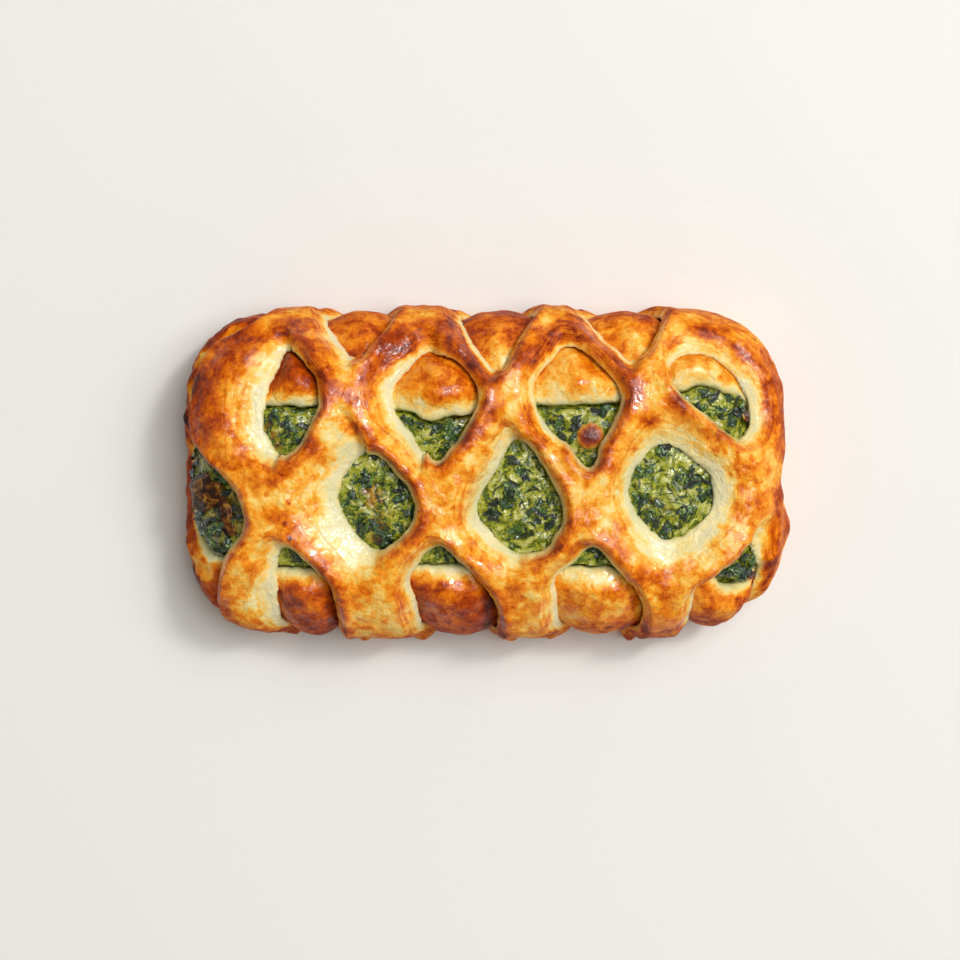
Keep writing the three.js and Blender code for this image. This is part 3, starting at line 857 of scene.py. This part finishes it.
def pastry_material():
    s = Surface("baked_pastry")
    place = s.place()
    bake = s.attribute("bake")
    flow = s.attribute("flow", "Vector")
    streak_share = s.attribute("streak")
    layer = s.attribute("layer")
    layered = s.attribute("layered")
    wet = s.attribute("wet")

    blotches = s.remap(s.noise(place, 5.0 * MM, 3, 0.55, 0.5), 0.36, 0.64, -0.1, 0.09)
    islands = s.remap(s.noise(place, 3.0 * MM, 5, 0.55, 0.4), 0.48, 0.54, -0.045, 0.055)
    mottle = s.noise(place, 1.3 * MM, 3, 0.6, 0.5)
    speck = s.noise(place, 0.45 * MM, 2, 0.6)
    streaks = s.noise(s.scaled(flow, (5.0, 5.0, 26.0)), 5.0, 4, 0.6, 0.8)
    streaked = s.times(s.remap(streaks, 0.36, 0.64, -0.07, 0.11), streak_share)
    change = s.plus(blotches, s.remap(mottle, 0.36, 0.64, -0.05, 0.03),
                    s.remap(speck, 0.36, 0.64, -0.03, 0.02), islands)
    change = s.plus(s.times(change, s.remap(bake, 0.0, 0.35, 0.4, 1.0)), streaked)
    change = s.times(change, s.remap(bake, 0.6, 0.85, 1.0, 0.6))
    baked = s.math("ADD", bake, change, clamp=True)
    shade = s.ramp(baked, BAKE_COLOURS)
    shade = s.mix(wet, shade, colour(SOAKED_COLOUR))

    stripes = s.noise(layer, 0.5, 2, 0.5)
    edge_shade = s.mix(s.remap(stripes, 0.35, 0.65), *map(colour, LAYER_COLOURS))
    s.set("Base Color", s.mix(s.times(layered, 0.6), shade, edge_shade))

    s.set("Roughness", s.remap(mottle, 0.35, 0.65, 0.4, 0.55))
    s.set("Specular IOR Level", 0.05)
    washed = s.remap(s.noise(place, 7.0 * MM, 3, 0.6, 0.6), 0.42, 0.55, 0.3, 1.0)
    s.set("Coat Weight", s.times(s.attribute("glaze"), washed))
    s.set("Coat Roughness", 0.035)
    s.set("Coat IOR", 1.5)
    s.set("Subsurface Weight", 0.15)
    s.set("Subsurface Radius", (1.0, 0.55, 0.25))
    s.set("Subsurface Scale", 1.4 * MM)

    wrinkles = s.noise(s.scaled(flow, (8.0, 8.0, 60.0)), 5.0, 4, 0.6, 0.8)
    wrinkled = s.times(wrinkles, streak_share)
    swell = s.bump(s.noise(place, 2.6 * MM, 3, 0.5, 0.6), 1.0 * MM, 0.7)
    swell = s.bump(wrinkled, 0.5 * MM, 0.6, swell)
    glaze = s.bump(s.noise(place, 2.2 * MM, 2, 0.5, 0.8), 0.3 * MM, 1.0)
    s.set("Coat Normal", s.bump(wrinkled, 0.12 * MM, 1.0, glaze))
    bumps = s.bump(mottle, 0.25 * MM, 0.7, swell)
    bumps = s.bump(speck, 0.05 * MM, 0.6, bumps)
    s.set("Normal", s.bump(s.times(stripes, layered), 0.4 * MM, 0.6, bumps))
    return s.material


def filling_material():
    s = Surface("spinach_and_soft_cheese")
    place = s.place()
    leaf_and_edge_shade = s.attribute("leaf_and_edge_shade")
    relief = s.attribute("relief")
    brown = s.attribute("brown")
    lumps = s.noise(place, 2.6 * MM, 4, 0.55, 1.2)
    fibres = s.noise(s.scaled(place, (1.0, 1.7, 1.0)), 0.9 * MM, 4, 0.6, 1.5)
    flecks = s.noise(s.scaled(place, (1.0, 1.5, 1.0)), 1.5 * MM, 4, 0.6, 1.8)
    value = s.remap(lumps, 0.36, 0.64, 0.3, 0.84)
    # The relief term paints the filling lighter on the ridges of its folds and darker in their hollows: painted
    # light and shade.
    value = s.plus(value, s.remap(fibres, 0.34, 0.66, -0.14, 0.14), s.times(relief, 0.12))
    value = s.math("SUBTRACT", value, s.remap(flecks, 0.56, 0.64, 0.0, 0.34))
    # Darker in the leaf clusters, and in a band along the case's edges where the darkening is painted shade.
    value = s.math("SUBTRACT", value, s.times(leaf_and_edge_shade, 0.26), clamp=True)
    shade = s.ramp(value, FILLING_COLOURS)
    toasted = s.ramp(s.plus(s.times(value, 0.5), s.times(fibres, 0.5)), TOASTED_COLOURS)
    s.set("Base Color", s.mix(brown, shade, toasted))
    s.set("Roughness", s.remap(fibres, 0.3, 0.7, 0.35, 0.5))
    s.set("Specular IOR Level", 0.2)
    s.set("Coat Weight", 1.0)
    s.set("Coat Roughness", 0.07)
    s.set("Subsurface Weight", 0.12)
    s.set("Subsurface Radius", (0.8, 0.9, 0.3))
    s.set("Subsurface Scale", 1.0 * MM)
    swell = s.bump(lumps, 1.6 * MM, 0.8)
    s.set("Coat Normal", s.bump(s.noise(place, 1.3 * MM, 2, 0.5, 0.8), 0.3 * MM, 1.0))
    s.set("Normal", s.bump(fibres, 0.5 * MM, 0.9, s.bump(flecks, 0.5 * MM, 0.7, swell)))
    return s.material


def leaf_material():
    s = Surface("cooked_spinach_leaf")
    place = s.place()
    veins = s.noise(place, 0.7 * MM, 5, 0.66, 0.8)
    tone = s.attribute("tone")
    value = s.math("ADD", s.remap(veins, 0.35, 0.65, 0.0, 0.6), s.times(tone, 0.4), clamp=True)
    s.set("Base Color", s.ramp(value, LEAF_COLOURS))
    s.set("Roughness", 0.4)
    s.set("Coat Weight", 1.0)
    s.set("Coat Roughness", 0.1)
    s.set("Coat Normal", s.bump(s.noise(place, 1.0 * MM, 2, 0.5, 0.5), 0.2 * MM, 1.0))
    s.set("Normal", s.bump(veins, 0.5 * MM, 0.9))
    return s.material


def browned_cheese_material():
    s = Surface("browned_cheese")
    place = s.place()
    spread = s.attribute("rim")
    mottle = s.noise(place, 1.2 * MM, 4, 0.6)
    value = s.math("ADD", spread, s.times(s.math("SUBTRACT", mottle, 0.5), 0.5), clamp=True)
    s.set("Base Color", s.ramp(value, CHEESE_COLOURS))
    s.set("Roughness", 0.2)
    s.set("Coat Weight", 0.6)
    s.set("Coat Roughness", 0.06)
    bumps = s.bump(mottle, 0.6 * MM, 0.7)
    s.set("Normal", bumps)
    s.set("Coat Normal", bumps)
    return s.material


def burnt_crust_material():
    s = Surface("burnt_crust")
    place = s.place()
    folds = s.noise(place, 3.0 * MM, 4, 0.55, 1.0)
    fine = s.noise(place, 0.6 * MM, 2, 0.5)
    charred = s.attribute("rim")
    value = s.math("ADD", s.remap(folds, 0.35, 0.65, 0.1, 0.85), s.remap(fine, 0.35, 0.65, -0.06, 0.06))
    value = s.math("SUBTRACT", value, s.times(charred, 0.7), clamp=True)
    s.set("Base Color", s.ramp(value, BURNT_COLOURS))
    s.set("Roughness", 0.5)
    s.set("Specular IOR Level", 0.1)
    s.set("Coat Weight", 0.3)
    s.set("Coat Roughness", 0.04)
    bumps = s.bump(folds, 0.5 * MM, 0.6)
    s.set("Coat Normal", bumps)
    s.set("Normal", s.bump(fine, 0.1 * MM, 0.7, bumps))
    return s.material


PASTRY = pastry_material()
FILLING = filling_material()
LEAF = leaf_material()
BROWNED_CHEESE = browned_cheese_material()
BURNT_CRUST = burnt_crust_material()


# ---------------------------------------- browning

# Strokes (along, across, along, across, half width, change of browning)
LATTICE_STROKES = [
    (-66, 12, -66, 22, 7, 0.34), (-66, 22, -58, 32, 7, 0.26), (-58, 32, -47, 35, 6, 0.24),
    (-62, 10, -55, 2, 5, 0.12), (-40, 30, -36, 20, 4, 0.22), (-36, 20, -41, 8, 4, 0.14),
    (-41, 8, -49, 0, 3, 0.16), (-30, 20, -22, 30, 5, 0.3), (-22, 30, -11, 35, 5, 0.32),
    (-6, 36, 2, 24, 5, 0.42), (-14, 44, -6, 40, 6, 0.2), (-31, 12, -22, 5, 2.5, 0.22),
    (-22, 5, -16, -1, 2.5, 0.2), (3, 18, -4, 10, 4, 0.2), (-4, 10, -9, 3, 3, 0.25),
    (12, 27, 20, 36, 4, 0.22), (24, 36, 36, 22, 5, 0.28), (36, 20, 27, 4, 3.5, 0.22),
    (10, 14, 14, 9, 3, 0.15), (40, 14, 50, 20, 4, 0.2), (48, 12, 60, 3, 4, 0.15), (56, 36, 70, 26, 7, 0.1),
    (72, 24, 76, 6, 6, 0.28), (74, -4, 78, -16, 6, 0.3), (72, -24, 66, -36, 6, 0.2),
    (-50, -8, -40, -18, 3, 0.15), (-40, -20, -32, -28, 4, 0.15), (-66, -28, -58, -50, 6, 0.15),
    (-22, -26, -30, -50, 4, 0.12), (8, -24, 6, -48, 4, 0.14), (46, -26, 40, -50, 5, 0.16),
    (17, -16, 22, -10, 2.5, 0.15), (-16, -14, -12, -8, 2.5, 0.15), (30, -14, 44, -27, 3, 0.1),
    (-66, 16, -64, 5, 3.5, 0.12), (-46, 37, -38, 22, 2.5, 0.12), (32, 29, 36, 20, 3, 0.12),
    (7, 27, 16, 34, 3, 0.15), (69, 22, 70, 6, 3.5, 0.22), (70, -6, 71, -24, 3.5, 0.32),
    (-24, 32, -11, 35, 3, 0.06), (-8, 31, -3, 26, 2.4, 0.32), (27, 33, 33, 28, 2.6, 0.16),
    (62, 4, 64, -14, 2.5, 0.12), (-38, 12, -30, 6, 4, -0.22), (-40, -11, -28, -20, 4, -0.2),
    (42, 16, 60, 4, 3, -0.15), (38, -18, 58, -14, 4, -0.16), (-56, -30, -52, -48, 4, -0.08),
    (-33, -36, -31, -52, 2.2, 0.16), (-24, -28, -23, -36, 4, -0.12), (27, 4, 30, -8, 4, -0.1),
    (4, -33, 5, -52, 2.4, 0.2), (40, -33, 38, -52, 2.6, 0.2), (42, -23.5, 43, -22.5, 2.2, 0.25),
    (-2, -10, -12, -12, 5, -0.08),
]

FLANK_STROKES = [
    (46, 31, 56, 33, 4.5, 0.12), (56, 33, 65, 26, 4.5, 0.1), (-16, 31, -8, 33, 3, 0.2),
    (-52, 29, -50, 22, 3, 0.08), (36, 0, 36, -6, 3.5, -0.08), (55, 3, 57, -8, 4, -0.08),
    (-57, -42, -47, -53, 5, 0.2), (-20, -44, -13, -55, 4, 0.16), (16, -44, 21, -55, 4, 0.16),
    (50, -40, 50, -54, 3.5, 0.14), (-29, -15, -35, -8, 2.5, -0.06),
]

# Browning, from 0 for raw dough to 1 for burnt
PALE_BAKE = 0.03  # at the bottom of a dip
CREST_BAKE = 0.39  # and how much more on a strip's crest
LIP_BAKE = 0.13
SIDE_BAKE = 0.1
SLOT_EDGE_BAKE = 0.16
LATTICE_LIMIT, CASE_LIMIT = 0.62, 0.74
SLOWED = 0.42  # how fast browning goes on past its limit
PILLOW_BAKE = {
    "a1": 0.84, "a2": 0.6, "a3": 0.46, "a4": 0.42, "b4": 0.62, "c1": 0.76, "c2": 0.74, "c3": 0.48,
    "z1": 0.62, "z2": 0.66, "z3": 0.54, "left_end": 0.78,
}
BURNT_STROKES = [
    (-71, 12, -72, 18, 1.4, 0.12), (-68, 29, -64, 33, 1.4, 0.1),
]
DOT_RADIUS, DOT_DARKNESS = 0.9, 0.4
BURNT_DOTS = [(-47.2, -10.2), (-46, -13.6), (-46.2, -5.4), (-51.2, -3.5), (-43, -32), (2, -40), (66, 33)]
CASE_BURNT_STROKES = [
    (-76, 14, -80, 22, 3.5, 0.2), (-76, -24, -70, -48, 2.6, 0.25), (-84, 4, -86, 10, 3, 0.2),
    (-36.5, -28, -38, -50, 2.2, 0.1), (1.5, -28, 1, -52, 2.4, 0.16), (36, -30, 34, -52, 2.6, 0.18),
    (4, 24, 4.4, 31, 5, -0.3), (37.6, 27, 37.6, 33, 4.5, -0.25), (-66, -22, -74, -20, 4, -0.2),
    (-64, 34, -74, 28, 1.6, -0.3),
]


def pillow_bake_map():
    level = np.full(MAP_SHAPE, 0.45)
    for name, (part, gap) in DEPTHS.items():
        if name in PILLOW_BAKE:
            level[part] = np.where(gap < 2.5, PILLOW_BAKE[name], level[part])
    return level


PILLOW_LEVEL = pillow_bake_map()


def soft_cap(value, limit):
    """Browning beyond the limit rises only slowly."""
    return np.where(value > limit, limit + (value - limit) * SLOWED, value)


def lattice_bake(spots, out, up):
    edge = sample_map(EDGE, spots)
    climb = (sample_map(RISE, spots) - FLANK_LOW) / (1 - FLANK_LOW)
    lip = sample_map(LIP, spots)
    depth = lattice_top(spots, up) - out
    bake = PALE_BAKE + CREST_BAKE * smooth(climb, 0.0, 0.72)
    bake = bake + LIP_BAKE * lip * smooth(edge, -0.5, 1.0) * (1 - smooth(edge, 2.0, 5.0))
    bake = bake + SIDE_BAKE * (1 - smooth(up, 0.2, 0.8))
    bake = bake + strokes(spots, LATTICE_STROKES) * smooth(climb, 0.0, 0.5) + strokes(spots, FLANK_STROKES)
    bake = bake + 0.1 * noise(spots, 8.0, 61, 3) * smooth(climb, 0.1, 0.7)
    bake = bake * (1 - 0.5 * smooth(depth, 0.6, 1.8) * (1 - smooth(edge, 0.5, 1.5)))
    dots = strokes(spots, [(*dot, *dot, DOT_RADIUS, DOT_DARKNESS) for dot in BURNT_DOTS])
    return soft_cap(bake, LATTICE_LIMIT) + strokes(spots, BURNT_STROKES) + dots


def case_bake(spots, out, up):
    from_slot = sample_map(SLOT_GAP, spots) + 0.8 * noise(spots, 5.0, 73, 2)
    inner = smooth(from_slot, 0.6, blend(5.5, 2.4, smooth(np.abs(spots[..., 0] + 4), 54, 62)))
    bake = SLOT_EDGE_BAKE + (sample_map(PILLOW_LEVEL, spots) - SLOT_EDGE_BAKE) * inner
    bake = bake + (0.08 * (1 - smooth(up, 0.2, 0.9)) + 0.1 * noise(spots, 7.0, 71, 3)) * inner
    bake = bake - 0.9 * np.minimum(strokes(spots, CASE_GROOVES), 0.3)
    return soft_cap(bake, CASE_LIMIT) + strokes(spots, CASE_BURNT_STROKES)


# ---------------------------------------- the three pieces

# Where a thin, soaked flank shows the filling's green
WET_STROKES = [
    (36, 1, 37, -9, 4, 0.45), (39, 5, 46, 10, 5, 0.25), (56, 4, 55, -4, 3.5, 0.15),
    (51, -16, 41, -17, 4, 0.2), (0, 3, -3, -8, 4.5, 0.4), (-36, -3, -30, -16, 3.5, 0.35),
    (4, -16, 13, -21, 3, 0.35), (-36, 9, -30, 5, 3.5, 0.35), (-20, 10, -13, 4, 3, 0.35),
    (22, 1, 27, 0, 2.5, 0.2), (61, 10, 66, 14, 3, 0.4), (-55, 8, -50, 4, 2.5, 0.3),
]


def wet_edge(spots):
    """Greenish, soaked pastry close to the filling."""
    edge, rise, from_slot = (sample_map(values, spots) for values in (EDGE, RISE, SLOT_GAP))
    over_filling = 1 - smooth(from_slot, -1.0, 2.0)
    hole_rim = (1 - smooth(edge, -0.6, 1.8)) * (1 - smooth(rise, 0.15, 0.4)) * over_filling
    slot_rim = (1 - smooth(from_slot, 0.0, 1.8)) * smooth(-edge, -0.5, 0.5)
    soaked = strokes(spots, WET_STROKES) * (1 - smooth(rise, 0.45, 0.85))
    rim = 0.65 * np.maximum(hole_rim, slot_rim)
    return np.maximum(rim, soaked)


GLAZED_FROM = (0.45, 0.88)  # steepness of the skin (upward lean of its normal) over which the egg wash fades


def pastry_attributes(vertices, bake_of, top_of, layered, streaked):
    spots, out, normal = skin_at(vertices)
    flow = sample_map(FLOW, spots)
    top = top_of(spots, normal[..., 2])
    return {
        "bake": bake_of(spots, out, normal[..., 2]),
        "flow": flow,
        "streak": streaked * (1 - smooth(flow[..., 2], 0.75, 1.0)),
        "layer": top - out,
        "layered": layered(spots, out, top),
        "wet": wet_edge(spots),
        "glaze": smooth(normal[..., 2], *GLAZED_FROM),
    }


LATTICE_SPAN = (-3, 9)  # heights over the skin between which the lattice lies
CASE_SPAN = (-4.5, 8)


def make_lattice():
    def near(out, height):
        return (out > LATTICE_SPAN[0]) & (out < LATTICE_SPAN[1])

    def layered(spots, out, top):
        return 0.5 * smooth(top - out, 0.8, 1.6) * (1 - smooth(sample_map(EDGE, spots), 0.4, 1.2))

    vertices, quads = meshed(lattice_field, near, LATTICE_VOXEL)
    attributes = pastry_attributes(vertices, lattice_bake, lattice_top, layered, streaked=1.0)
    made = make_object("lattice", vertices, quads, attributes, PASTRY)
    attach(made, "root")
    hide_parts("pastry_lattice")


def make_case():
    def near(out, height):
        return ((out > CASE_SPAN[0]) | (height < CASE_WALL + 2)) & (out < CASE_SPAN[1])

    def case_top(spots, up):
        return sample_map(CASE_TOP, spots)

    def layered(spots, out, top):
        return 0 * out

    vertices, quads = meshed(case_field, near, CASE_VOXEL)
    attributes = pastry_attributes(vertices, case_bake, case_top, layered, streaked=0.0)
    made = make_object("case", vertices, quads, attributes, PASTRY)
    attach(made, "root")
    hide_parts("pastry_case")


def boxed_loaf(steps, height):
    """Closed mesh of the loaf from a subdivided box, grown out of the skin by a height."""
    points, faces = box_shell(steps)
    box = points * [LOAF_HALF[0], LOAF_HALF[1], CROWN]
    box[:, 2] = np.where(box[:, 2] < 0, box[:, 2] * KEEL / CROWN, box[:, 2])
    foot = on_skin(box, 12)
    normal = unit(loaf_slope(foot))
    spots = over_skin(foot, normal)
    places = foot + normal * height(spots, foot)[:, None] + LOAF_CENTRE
    places[:, 2] = np.maximum(places[:, 2], CASE_WALL + FILLING_GAP)
    return places, faces, spots


FILLING_BROWN = [
    (-74, 2, -70, -8, 5, 0.7), (-72, -12, -63, -17, 3.5, 0.55), (-76, 5, -71, 9, 3, 0.5),
    (-60, -4, -60, -12, 4, 0.6), (-27, -4, -25, -7, 4.5, 1.0), (-24, -12, -26, -14, 3, 0.8),
    (-51.5, 12, -50, 8, 2.5, 0.9), (65, -20, 66, -24, 2.5, 0.6), (-8, 16, -4, 14, 2.5, 0.5),
    (22, 6, 25, 8, 2.5, 0.5), (40, -6, 44, -8, 2.5, 0.4),
]


def make_filling():
    inside = -CASE_WALL - FILLING_GAP

    def height(spots, foot):
        shown = 1 - smooth(sample_map(SLOT_GAP, spots), -1.0, -0.2)
        return blend(inside, sample_map(FILLING_TOP, spots), shown * (foot[:, 2] > 0))

    places, quads, spots = boxed_loaf((290, 150, 6), height)
    # Dark leaf in clusters, and dark leaf with painted shade along the case's edges.
    leaf_and_edge_shade = sample_map(FILLING_LEAF_AND_EDGE_SHADE, spots)
    brown = np.minimum(strokes(spots, FILLING_BROWN), 1) * smooth(noise(spots, 2.5, 83, 2), -0.5, 0.1)
    # Relief carries the folds' height into the colour, as painted light on their ridges and painted shade in
    # their hollows.
    relief = sample_map(FILLING_RELIEF, spots)
    attributes = {"leaf_and_edge_shade": leaf_and_edge_shade, "brown": brown, "relief": relief}
    made = make_object("filling_log", places, quads, attributes, FILLING)
    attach(made, "root")
    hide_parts("filling")


# ---------------------------------------- small pieces on the filling

SHRED_HALF_THICKNESS = 0.12
SHRED_MARGIN = 0.1  # how far inside the slot a shred stays


SKIN_GRID_STEP = 5  # map steps between the points of the skin grid
SKIN_REACH = np.array([92, 58])  # furthest (along, across) on the skin


def skin_grid():
    """Places on the skin and their normals for a coarse grid of (along, across)."""
    spots = MAP_SPOTS[::SKIN_GRID_STEP, ::SKIN_GRID_STEP]
    place = skin_place(np.clip(spots, -SKIN_REACH, SKIN_REACH))
    return np.concatenate([place, unit(loaf_slope(place))], -1)


SKIN_GRID = skin_grid()


def above_skin(spots, out):
    """(along, across) and a height to places in space."""
    found = sample_grid(SKIN_GRID, (spots - MAP_LOW) / (MAP_STEP * SKIN_GRID_STEP))
    return found[..., :3] + unit(found[..., 3:]) * out[..., None] + LOAF_CENTRE


def grid_quads(number):
    """Quads over a grid of vertex numbers."""
    return np.stack([number[:-1, :-1], number[1:, :-1], number[1:, 1:], number[:-1, 1:]], -1).reshape(-1, 4)


def sheet_faces(rows, columns):
    """Quads of a thin closed leaf: an upper and a lower grid joined round the rim."""
    number = np.arange(rows * columns).reshape(rows, columns)
    upper = grid_quads(number)
    lower = upper[:, ::-1] + rows * columns
    rim = np.concatenate([number[:, 0][::-1], number[0, 1:], number[1:, -1], number[-1, 1:-1][::-1]])
    after = np.roll(rim, -1)
    side = np.stack([rim, after, after + rows * columns, rim + rows * columns], -1)
    return np.concatenate([upper, lower, side[:, ::-1]])


def make_shreds(name, steps, clusters, lengths, widths, tone_range, crumpled, seed):
    """Crumpled shreds of dark leaf, half sunk in the filling."""
    random = np.random.default_rng(seed)
    rows, columns = steps
    s, w = np.meshgrid(np.linspace(-1, 1, rows), np.linspace(-1, 1, columns), indexing="ij")
    faces_of_one = sheet_faces(rows, columns)
    places, faces, tones = [], [], []
    for along, across, reach, count in clusters:
        for _ in range(count):
            centre = np.array([along, across]) + random.normal(0, 0.42, 2) * reach
            length, width = random.uniform(*lengths), random.uniform(*widths)
            heading, bend = random.uniform(0, math.pi), random.normal(0, 0.4)
            ragged = 1 + 0.35 * noise(np.stack([3 * s, 3 * w, 0 * s + random.uniform(0, 500)], -1), 1.0, 90)
            taper = np.sqrt(np.maximum(1 - 0.85 * s ** 2, 0.05)) * ragged
            x = 0.5 * length * s * (0.8 + 0.2 * ragged)
            y = 0.5 * width * w * taper + 0.5 * min(length, 2.4) * bend * s ** 2
            spots = centre + np.stack([x * math.cos(heading) - y * math.sin(heading),
                                       x * math.sin(heading) + y * math.cos(heading)], -1)
            crumple = noise(np.stack([x, y, 0 * x + random.uniform(0, 500)], -1), 1.4, 91, 2, 0.5)
            lift = crumpled * (crumple + random.uniform(-0.5, 0.8) * w) + random.uniform(-0.1, 0.35)
            tone = random.uniform(*tone_range)
            if sample_map(SLOT_GAP, spots).max() > -SHRED_MARGIN:
                continue
            height = sample_map(FILLING_TOP, spots) + lift
            upper = above_skin(spots, height + SHRED_HALF_THICKNESS)
            lower = above_skin(spots, height - SHRED_HALF_THICKNESS)
            faces.append(faces_of_one + len(places) * 2 * rows * columns)
            places.append(np.concatenate([upper.reshape(-1, 3), lower.reshape(-1, 3)]))
            tones.append(np.full(2 * rows * columns, tone))
    attributes = {"tone": np.concatenate(tones)}
    made = make_object(name, np.concatenate(places), np.concatenate(faces), attributes, LEAF)
    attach(made, "root")


# Where thin threads of leaf lie: (along, across, radius, how many)
THREAD_AREAS = [
    (-66, -4, 14, 42), (-26, -5, 13, 46), (9.5, -4, 13, 70), (45.5, -3, 13, 63), (-47, 11, 8, 28),
    (-11, 11, 10, 35), (22, 10, 10, 35), (57, 17, 9, 28), (-43, -19, 6, 10), (-8, -19, 6, 11),
    (28, -19, 6, 11), (64, -22, 5, 11),
]


def box_shell(steps):
    """Points of a box from -1 to 1, subdivided, and the quads over it."""
    counts = np.array(steps)
    index_of, points, faces = {}, [], []
    for axis in range(3):
        others = [(axis + 1) % 3, (axis + 2) % 3]
        for side in (0, 1):
            first, second = counts[others[0]], counts[others[1]]
            block = np.empty((first + 1, second + 1), int)
            for i in range(first + 1):
                for j in range(second + 1):
                    key = [0, 0, 0]
                    key[axis] = int(counts[axis] * side)
                    key[others[0]], key[others[1]] = i, j
                    block[i, j] = index_of.setdefault(tuple(key), len(index_of))
            quads = grid_quads(block)
            faces.append(quads if side else quads[:, ::-1])
    return np.array(list(index_of)) / counts * 2 - 1, np.concatenate(faces)


def make_lump(name, spot, out, size, turn, roughness, seed, material, slot, rim=False):
    """A lumpy rounded piece at a spot on the skin. Size holds its half length, width and height."""
    points, faces = box_shell((18, 18, 18))
    ball = unit(points)
    folds = 0.5 - np.abs(noise(ball, 1.1, seed, 2, 0.45)) * 2
    local = ball * (1 + roughness * folds)[:, None] * size
    cos, sin = math.cos(turn), math.sin(turn)
    spots = np.stack([spot[0] + local[:, 0] * cos - local[:, 1] * sin,
                      spot[1] + local[:, 0] * sin + local[:, 1] * cos], -1)
    places = above_skin(spots, out + local[:, 2])
    spread = np.hypot(ball[:, 0], ball[:, 1]) if rim else smooth(-ball[:, 0], 0.3, 0.95)
    made = make_object(name, places, faces, {"rim": spread}, material)
    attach(made, "root")


# Name, (along, across), height over the skin, half sizes, turn, roughness, seed, material, slot, rim
LUMPS = [
    ("browned_cheese_drop", (25.6, 10.3), 0.5, (3.4, 3.3, 1.5), 0.3, 0.07, 7, BROWNED_CHEESE, "filling",
     True),
    ("burnt_crumb_large", (-69, -3.8), 1.6, (6.2, 4.3, 1.9), 0.3, 0.26, 8, BURNT_CRUST, "case_pastry"),
    ("burnt_crumb_middle", (-62.4, -8), 1.2, (1.7, 3.3, 1.0), 0.2, 0.3, 9, BURNT_CRUST, "case_pastry"),
    ("burnt_crumb_low", (-61.5, -12.5), 1.0, (1.5, 2.0, 0.9), 0.9, 0.3, 10, BURNT_CRUST, "case_pastry"),
    ("burnt_tip", (-85, 10), 0.9, (2.6, 1.3, 1.5), 0.9, 0.3, 11, BURNT_CRUST, "case_pastry"),
    ("brown_crumb_right", (66.8, -25.2), 1.0, (1.3, 0.7, 0.5), 0.9, 0.5, 12, BROWNED_CHEESE, "filling"),
    ("brown_crumb_back", (63.6, 15), 0.9, (0.8, 1.3, 0.5), 0.2, 0.5, 13, BROWNED_CHEESE, "filling"),
]

make_lattice()
make_case()
make_filling()
make_shreds("spinach_shreds", (10, 7), SHRED_CLUSTERS, (1.6, 3.8), (0.8, 1.9), (-0.5, 1.1), 0.42, 5)
make_shreds("spinach_threads", (9, 3), THREAD_AREAS, (1.4, 3.6), (0.2, 0.5), (0.0, 1.8), 0.3, 6)
for lump in LUMPS:
    make_lump(*lump)


# ---------------------------------------- stage

CAMERA_DISTANCE = 600.0
CAMERA_TILT = math.radians(-5.0)
CAMERA_TARGET = np.array([-1.1, -1.5, 18.0])
LENS, SENSOR = 91.5, 36.0
WORLD_AT_HORIZON, WORLD_OVERHEAD = 0.46, 0.2
FLOOR_HALF = 1500.0


def make_floor():
    surface = Surface("pale_floor")
    surface.set("Base Color", colour("#e9eaea"))
    surface.set("Roughness", 0.6)
    corners = [(x * FLOOR_HALF, y * FLOOR_HALF, 0) for x, y in ((-1, -1), (1, -1), (1, 1), (-1, 1))]
    make_object("floor", corners, [(0, 1, 2, 3)], {}, surface.material)


def area_light(name, size, power, place, tint, towards=(0, 0, 15)):
    data = bpy.data.lights.new(name, "AREA")
    data.shape = "RECTANGLE"
    data.size, data.size_y = size[0] * MM, size[1] * MM
    data.energy = power
    data.color = colour(tint)[:3]
    lamp = bpy.data.objects.new(name, data)
    lamp.location = Vector(place) * MM
    lamp.rotation_euler = (Vector(towards) - Vector(place)).to_track_quat("-Z", "Y").to_euler()
    bpy.context.scene.collection.objects.link(lamp)


def make_room():
    """Even light from all round, a little brighter at the horizon than overhead."""
    world = bpy.data.worlds.new("soft_room")
    world.use_nodes = True
    nodes, links = world.node_tree.nodes, world.node_tree.links
    nodes["Background"].inputs[0].default_value = colour("#f7f2e3")
    way = nodes.new("ShaderNodeSeparateXYZ")
    links.new(nodes.new("ShaderNodeTexCoord").outputs["Generated"], way.inputs[0])
    fading = nodes.new("ShaderNodeMapRange")
    links.new(way.outputs[2], fading.inputs["Value"])
    fading.inputs["To Min"].default_value = WORLD_AT_HORIZON
    fading.inputs["To Max"].default_value = WORLD_OVERHEAD
    links.new(fading.outputs[0], nodes["Background"].inputs[1])
    bpy.context.scene.world = world


def make_camera():
    data = bpy.data.cameras.new("camera")
    data.lens, data.sensor_width = LENS, SENSOR
    camera = bpy.data.objects.new("camera", data)
    back = np.array([0, -math.sin(CAMERA_TILT), math.cos(CAMERA_TILT)])
    camera.location = (CAMERA_TARGET + CAMERA_DISTANCE * back) * MM
    camera.rotation_euler = (CAMERA_TILT, 0, 0)
    bpy.context.scene.collection.objects.link(camera)
    bpy.context.scene.camera = camera


make_floor()
area_light("key", (1700, 1700), 40.0, (900, 600, 2100), "#fefefe")
area_light("window", (270, 390), 15.0, (1000, 800, 1900), "#fffbf2")
make_room()
make_camera()
bpy.context.scene.view_settings.view_transform = "Standard"
